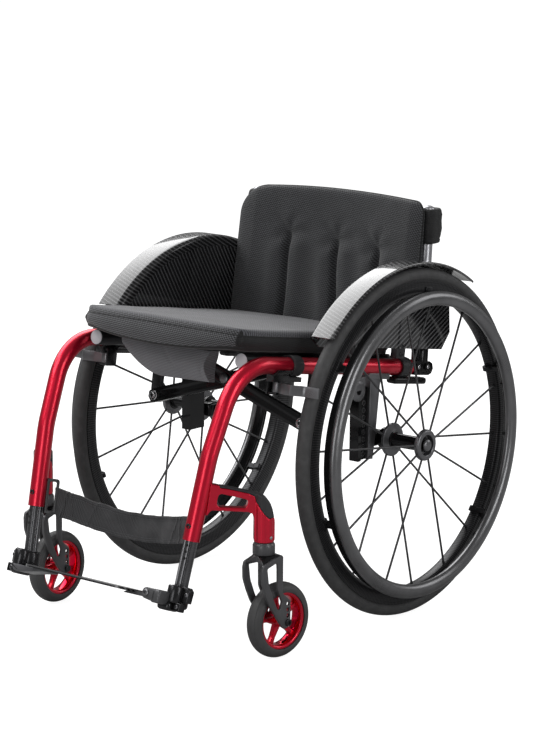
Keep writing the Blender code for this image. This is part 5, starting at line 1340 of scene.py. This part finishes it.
class WHEELCHAIR_OT_cushion(bpy.types.Operator):
    """Add the seat cushion with its piped edge and its seams"""

    bl_idname = "wheelchair.cushion"
    bl_label = "Seat Cushion"
    bl_options = {"REGISTER", "UNDO"}

    def execute(self, context):
        sizes = context.scene.wheelchair_sizes
        front, rear, base, thick = -0.366, 0.048, 0.0191, 0.0365
        half_width = 0.180
        half_depth = (rear - front) / 2
        edge_radius = 0.012

        def place(u, v, t):
            """u runs across the cushion, v back along it and t up through it."""
            u, v = (spot * (1.5 - 0.5 * spot * spot) for spot in (u, v))
            x = u * half_width
            s = front + (rear - front) * (v + 1) / 2
            s -= 0.012 * (1 - u * u) * max(0.0, -v) ** 4
            s += 0.012 * max(0.0, 1 - (x / 0.150) ** 2) * max(0.0, v) ** 4
            pull = 0.013 * abs(u) ** 8 * abs(v) ** 8
            inset = min((1 - abs(u)) * half_width, (1 - abs(v)) * half_depth)
            lip = max(0.0, 1 - inset / edge_radius)
            turn = 1 - math.sqrt(1 - lip * lip)
            crown = 0.0040 * (1 - u * u) * (1 - 0.5 * v * v)
            soft = 0.0013 * noise.noise(Vector((u * 2.6, v * 3.1, 7.0))) * (1 - lip)
            dip = seat_dip(x)
            ahead = min(1.0, max(0.0, (-0.82 - v) / 0.18))
            sag = (dip * 0.9 + 0.006 * (1 - u * u) - 0.002) * ahead * ahead
            low = base - dip * (1 - ahead * ahead) - sag + 0.006 * turn
            high = base + thick + crown - 0.011 * turn + soft
            bulge = 0.0038 * math.sin(math.pi * t) if lip > 0.999 else 0.0
            outward = Vector((math.copysign(bulge, u) if abs(u) > 0.999 else 0.0,
                              math.copysign(bulge, v) if abs(v) > 0.999 else 0.0, 0))
            spot = on_rail(x - math.copysign(pull, u), s - math.copysign(pull, v), low + (high - low) * t)
            return spot + outward

        def cover(u, v, t):
            """Mesh on top and in the middle of the front, plain cloth on the rest."""
            if v < -0.9 and t > 0.001:
                return 1 if abs(u) < 0.82 else 2
            return 0 if t > 0.999 else 2

        body = form(72, 84, 8, place, cover)
        cloths = ("seat_mesh", "front_mesh", "side_cloth")
        cushion = settle(body, "cushion", cloths, "seat", ("seat_cushion",), sharp=75)
        run = [(u / 40, -1.0) for u in range(-40, 41)] + [(1.0, v / 40) for v in range(-39, 41)]
        run += [(u / 40, 1.0) for u in range(39, -41, -1)] + [(-1.0, v / 40) for v in range(39, -40, -1)]
        seams = [swept([place(u, v, 1.0) for u, v in run], sizes.piping, 8)]
        proud = Vector((0, -0.0002, 0))
        for u in (-0.82, 0.82):
            seams.append(swept([place(u, -1.0, t / 10) + proud for t in range(11)], 0.0010, 8))
        welt = settle(merged(*seams), "cushion_welt", "side_cloth", "seat", sharp=80)
        for piece in (cushion, welt):
            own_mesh(piece)
        return {"FINISHED"}


class WHEELCHAIR_OT_back(bpy.types.Operator):
    """Add the back upholstery with its sewn channels and the sleeves that hang it on the tubes"""

    bl_idname = "wheelchair.back"
    bl_label = "Back Upholstery"
    bl_options = {"REGISTER", "UNDO"}

    def execute(self, context):
        low, top = 0.032, 0.2825
        channels = ((-0.094, -0.035, 0.206), (0.008, 0.040, 0.202), (0.102, 0.080, 0.197))

        def place(u, v, t):
            """u runs across the back, v up it and t from its front to its rear."""
            up = (v + 1) / 2
            h = low + (top + 0.006 * (1 - u * u) - low) * (1 - (1 - up) ** 1.25)
            half, corner, drawn = (0.206, 0.056, 0.064) if u < 0 else (0.193, 0.024, 0.018)
            over = min(1.0, max(0.0, (h - top + corner) / corner))
            x = u * (half - drawn * (1 - math.sqrt(1 - over * over)))
            hollow = 0.016 * max(0.0, 1 - (x / 0.170) ** 2)
            border = 0.006 * abs(u) ** 14 + 0.006 * max(0.0, v) ** 16
            dart = 0.0
            for middle, lean, end in channels:
                fade = min(1.0, max(0.0, (end - h) / 0.024))
                near = x - middle - (end - h) * lean - 0.003 * math.sin(h * 26)
                dart += 0.0115 * math.exp(-(near / 0.0055) ** 2) * fade ** 0.6
                dart -= 0.0042 * math.exp(-((abs(near) - 0.024) / 0.017) ** 2) * fade
                reach = math.hypot(near / 0.020, (h - end + 0.004) / 0.016)
                rays = math.cos(5 * math.atan2(h - end, near)) if reach > 0.05 else 0.0
                dart += 0.0060 * math.exp(-reach ** 2) + 0.0011 * rays * math.exp(-((reach - 1.6) / 0.9) ** 2)
            soft = 0.0022 * noise.noise(Vector((x * 9, h * 11, 1.0)))
            soft += 0.0009 * noise.noise(Vector((x * 30 + h * 18, h * 26, 5.0)))
            front = 0.055 + hollow + dart + border + soft * (1 - border / 0.012)
            rear = BACK_FOOT - h * math.tan(BACK_LEAN) - 0.0154 + hollow - border * 0.3
            round_in = 0.5 - 0.5 * math.cos(math.pi * t)
            s = front + (rear - front) * (round_in if abs(u) > 0.999 or v > 0.999 else t)
            return on_rail(x, s, h)

        body = form(150, 96, 4, place)
        panel = settle(body, "back_panel", "back_mesh", "left_frame", ("back_upholstery",), sharp=60)
        for side, x in (("left", RAIL_X), ("right", -RAIL_X)):
            settle(self.sleeve(x), "back_sleeve_" + side, "side_cloth", side + "_frame", sharp=70)
        run = [(-1.0, v / 40) for v in range(-40, 40)] + [(u / 60, 1.0) for u in range(-60, 61)]
        run += [(1.0, v / 40) for v in range(39, -41, -1)]
        path = [place(u, v, 0.5) for u, v in run]
        binding = settle(swept(path, 0.0016, 10), "back_binding", "side_cloth", "left_frame", sharp=80)
        for piece in (panel, binding):
            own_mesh(piece)
        return {"FINISHED"}

    def sleeve(self, x):
        """A crumpled sleeve round a back tube: rings drawn up its line, then closed at both ends."""
        heights = ((0.2135, -0.0014), (0.2145, 0.0002), (0.2190, 0.0010), (0.2215, 0.0001), (0.2250, 0.0010),
                   (0.2380, 0.0020), (0.2510, 0.0010), (0.2620, 0.0018), (0.2695, 0.0006), (0.2725, -0.0014))
        shape = bmesh.new()
        rings = [bmesh.ops.create_circle(shape, segments=48, radius=1.0)["verts"]]
        edges = list(shape.edges)
        for _ in heights[1:]:
            grown = bmesh.ops.extrude_edge_only(shape, edges=edges)["geom"]
            edges = edges_in(grown)
            rings.append(points_in(grown))
        for verts, (h, swell) in zip(rings, heights):
            middle = back_point(h, x)
            for vert in verts:
                angle = math.atan2(vert.co.y, vert.co.x)
                across, back = math.cos(angle), math.sin(angle)
                squareness = 1 / max(abs(across) ** 4 + abs(back) ** 4, 1e-6) ** 0.25
                crumple = 0.0009 * noise.noise(Vector((across * 2, back * 2, h * 90)))
                wide = 0.0165 + swell + crumple
                vert.co = middle + Vector((across * wide * squareness,
                                           0.0048 + back * (wide + 0.0012) * squareness, 0))
        for loop in (rings[0], rings[-1]):
            rim = [edge for edge in shape.edges if edge.verts[0] in loop and edge.verts[1] in loop]
            lid = bmesh.ops.contextual_create(shape, geom=rim)["faces"]
            bmesh.ops.inset_region(shape, faces=lid, thickness=0.0045, depth=0)
        return shape


class WHEELCHAIR_OT_stage(bpy.types.Operator):
    """Set the camera, the soft studio light and the pale floor"""

    bl_idname = "wheelchair.stage"
    bl_label = "Stage"
    bl_options = {"REGISTER", "UNDO"}

    def execute(self, context):
        stage = context.scene.wheelchair_stage
        scene = context.scene
        scene.view_settings.view_transform = "Standard"
        self.place_camera(scene, stage)
        self.lay_floor(stage)
        self.light(scene, stage)
        return {"FINISHED"}

    def place_camera(self, scene, stage):
        aim = Vector(stage.aim) + Vector((0, SHIFT, 0))
        position = Vector(stage.viewpoint) + Vector((0, SHIFT, 0))
        ahead = (aim - position).normalized()
        right = ahead.cross(Vector((0, 0, 1))).normalized()
        up = right.cross(ahead)
        roll = stage.roll
        across = right * math.cos(roll) + up * math.sin(roll)
        upward = up * math.cos(roll) - right * math.sin(roll)
        lens = bpy.data.cameras.new("camera")
        lens.lens = stage.lens
        lens.sensor_width = 36.0
        lens.clip_end = 60.0
        camera = bpy.data.objects.new("camera", lens)
        turn = Matrix((across, upward, -ahead)).transposed().to_4x4()
        camera.matrix_world = Matrix.Translation(position) @ turn
        scene.collection.objects.link(camera)
        scene.camera = camera

    def lay_floor(self, stage):
        shape = bmesh.new()
        bmesh.ops.create_grid(shape, x_segments=1, y_segments=1, size=stage.floor_size / 2)
        mesh = bpy.data.meshes.new("floor")
        shape.to_mesh(mesh)
        shape.free()
        floor = Finish("floor", (0.36, 0.36, 0.36), 0.9, specular_ior_level=0.0)
        seen = floor.add("ShaderNodeLightPath", output="Is Camera Ray")
        floor.shader.inputs["Emission Strength"].default_value = stage.floor_glow
        floor.wire(emission_color=floor.blend(seen, (0.0, 0.0, 0.0), (1.0, 1.0, 1.0)))
        mesh.materials.append(floor.material)
        ground = bpy.data.objects.new("floor", mesh)
        bpy.context.scene.collection.objects.link(ground)

    def light(self, scene, stage):
        world = bpy.data.worlds.new("studio")
        world.use_nodes = True
        scene.world = world
        sky = Nodes(world.node_tree, "Background")
        mirrored = sky.add("ShaderNodeLightPath", output="Is Glossy Ray")
        seen = sky.add("ShaderNodeLightPath", output="Is Camera Ray")
        level = sky.blend(mirrored, (stage.sky_light,) * 3, (stage.mirror_light,) * 3)
        sky.wire(color=sky.blend(seen, level, (1.0, 1.0, 1.0)))
        middle = Vector((0, 0, 0.35))
        # Each light's name, place, width, height and power
        lamps = (("key", (-1.6, -2.6, 3.1), 2.6, 2.2, stage.key_light),
                 ("side", (3.6, -0.2, 1.5), 1.0, 2.4, stage.side_light),
                 ("top", (-2.2, 0.7, 2.9), 4.2, 2.4, stage.top_light),
                 ("strip", (1.0, -4.2, 1.0), 1.5, 2.4, stage.strip_light),
                 ("rear", (2.3, 3.3, 1.9), 1.8, 1.8, stage.rear_light))
        for name, place, width, height, watts in lamps:
            lamp = bpy.data.lights.new(name, "AREA")
            lamp.shape = "RECTANGLE"
            lamp.size = width
            lamp.size_y = height
            lamp.energy = watts
            holder = bpy.data.objects.new(name, lamp)
            holder.location = place
            holder.rotation_euler = (middle - Vector(place)).to_track_quat("-Z", "Y").to_euler()
            bpy.context.scene.collection.objects.link(holder)


class WheelchairSizes(bpy.types.PropertyGroup):
    """Facets and small sizes"""

    wheel_steps: bpy.props.IntProperty(name="Wheel Steps", description="Facets round each rear wheel",
                                       default=160, min=24)
    bend_steps: bpy.props.IntProperty(name="Bend Steps", description="Facets along a side tube's front bend",
                                      default=22, min=4)
    guard_steps: bpy.props.IntProperty(name="Guard Steps", description="Facets along a sideguard's arc",
                                       default=56, min=8)
    spoke_radius: bpy.props.FloatProperty(name="Spoke Radius", description="Radius of a spoke's wire",
                                          default=0.0019, min=0.0005, precision=4, unit="LENGTH")
    valve_angle: bpy.props.FloatProperty(name="Valve Angle", default=-58.0,
                                         description="Degrees from the rear upwards to the valves")
    piping: bpy.props.FloatProperty(name="Piping", description="Radius of the cushion's piping",
                                    default=0.0008, precision=4, unit="LENGTH")
    stitches: bpy.props.IntProperty(name="Stitches", description="Stitches in each row along the calf strap",
                                    default=84, min=2)


class WheelchairFinishes(bpy.types.PropertyGroup):
    """Colours and the pitch of the weaves"""

    paint: bpy.props.FloatVectorProperty(name="Paint", description="Colour of the frame's candy paint",
                                         default=(0.70, 0.0045, 0.034), subtype="COLOR")
    black: bpy.props.FloatVectorProperty(name="Black", description="Colour of the anodised metal",
                                         default=(0.030, 0.030, 0.032), subtype="COLOR")
    graphite: bpy.props.FloatVectorProperty(name="Graphite", description="Colour of the grey metal",
                                            default=(0.17, 0.17, 0.178), subtype="COLOR")
    handrim: bpy.props.FloatVectorProperty(name="Handrim", description="Colour of the handrims",
                                           default=(0.17, 0.17, 0.175), subtype="COLOR")
    rubber: bpy.props.FloatVectorProperty(name="Rubber", description="Colour of the tyres",
                                          default=(0.041, 0.041, 0.042), subtype="COLOR")
    weave: bpy.props.FloatProperty(name="Weave", description="Pitch of the woven and knitted patterns",
                                   default=0.0050, min=0.001, precision=4, unit="LENGTH")


class WheelchairStage(bpy.types.PropertyGroup):
    """Camera, floor and lights; the camera's points count from under the rear axle"""

    aim: bpy.props.FloatVectorProperty(name="Aim", description="The point that the camera looks at",
                                       default=(-0.0842, 0.0240, 0.3590), subtype="XYZ")
    viewpoint: bpy.props.FloatVectorProperty(name="Viewpoint", description="Where the camera stands",
                                             default=(2.92085, -3.61938, 1.30682), subtype="XYZ")
    roll: bpy.props.FloatProperty(name="Roll", description="The camera's roll", default=math.radians(0.4488),
                                  subtype="ANGLE")
    lens: bpy.props.FloatProperty(name="Lens", description="Focal length in millimetres", default=130.65)
    floor_size: bpy.props.FloatProperty(name="Floor Size", description="Width of the floor",
                                        default=60.0, unit="LENGTH")
    floor_glow: bpy.props.FloatProperty(name="Floor Glow", description="How bright the floor is seen",
                                        default=0.90)
    sky_light: bpy.props.FloatProperty(name="Sky Light", description="Strength of the even light",
                                       default=0.42)
    mirror_light: bpy.props.FloatProperty(name="Mirror Light", description="The surroundings in reflections",
                                          default=0.20)
    key_light: bpy.props.FloatProperty(name="Key Light", description="Power of the large light in front",
                                       default=62.0, unit="POWER")
    side_light: bpy.props.FloatProperty(name="Side Light", description="Power of the light at the side",
                                        default=30.0, unit="POWER")
    top_light: bpy.props.FloatProperty(name="Top Light", description="Power of the light over the right side",
                                       default=115.0, unit="POWER")
    strip_light: bpy.props.FloatProperty(name="Strip Light", description="Power of the narrow light in front",
                                         default=30.0, unit="POWER")
    rear_light: bpy.props.FloatProperty(name="Rear Light", description="Power of the light at the left rear",
                                        default=20.0, unit="POWER")


PIECES = (WHEELCHAIR_OT_rear_tyres, WHEELCHAIR_OT_rear_rims, WHEELCHAIR_OT_hubs, WHEELCHAIR_OT_handrims,
          WHEELCHAIR_OT_quick_axles, WHEELCHAIR_OT_casters, WHEELCHAIR_OT_side_tubes,
          WHEELCHAIR_OT_caster_arms, WHEELCHAIR_OT_frame_fittings, WHEELCHAIR_OT_cross_brace,
          WHEELCHAIR_OT_sideguards, WHEELCHAIR_OT_back_tubes, WHEELCHAIR_OT_footrest,
          WHEELCHAIR_OT_calf_strap, WHEELCHAIR_OT_sling, WHEELCHAIR_OT_cushion, WHEELCHAIR_OT_back,
          WHEELCHAIR_OT_stage)
GROUPS = {"wheelchair_sizes": WheelchairSizes, "wheelchair_finishes": WheelchairFinishes,
          "wheelchair_stage": WheelchairStage}


class WHEELCHAIR_PT_panel(bpy.types.Panel):
    """The wheelchair's pieces, sizes and finishes"""

    bl_idname = "WHEELCHAIR_PT_panel"
    bl_label = "Wheelchair"
    bl_space_type = "VIEW_3D"
    bl_region_type = "UI"
    bl_category = "Wheelchair"

    def draw(self, context):
        layout = self.layout
        for key in GROUPS:
            group = getattr(context.scene, key)
            box = layout.box()
            for setting in group.__annotations__:
                box.prop(group, setting)
        for operator in PIECES:
            layout.operator(operator.bl_idname)


def register():
    for item in (*GROUPS.values(), *PIECES, WHEELCHAIR_PT_panel):
        bpy.utils.register_class(item)
    for key, group in GROUPS.items():
        setattr(bpy.types.Scene, key, bpy.props.PointerProperty(type=group))


def unregister():
    for key in GROUPS:
        delattr(bpy.types.Scene, key)
    for item in reversed((*GROUPS.values(), *PIECES, WHEELCHAIR_PT_panel)):
        bpy.utils.unregister_class(item)


def main():
    register()
    for operator in PIECES:
        getattr(bpy.ops.wheelchair, operator.bl_idname.split(".")[1])()


if __name__ == "__main__":
    main()
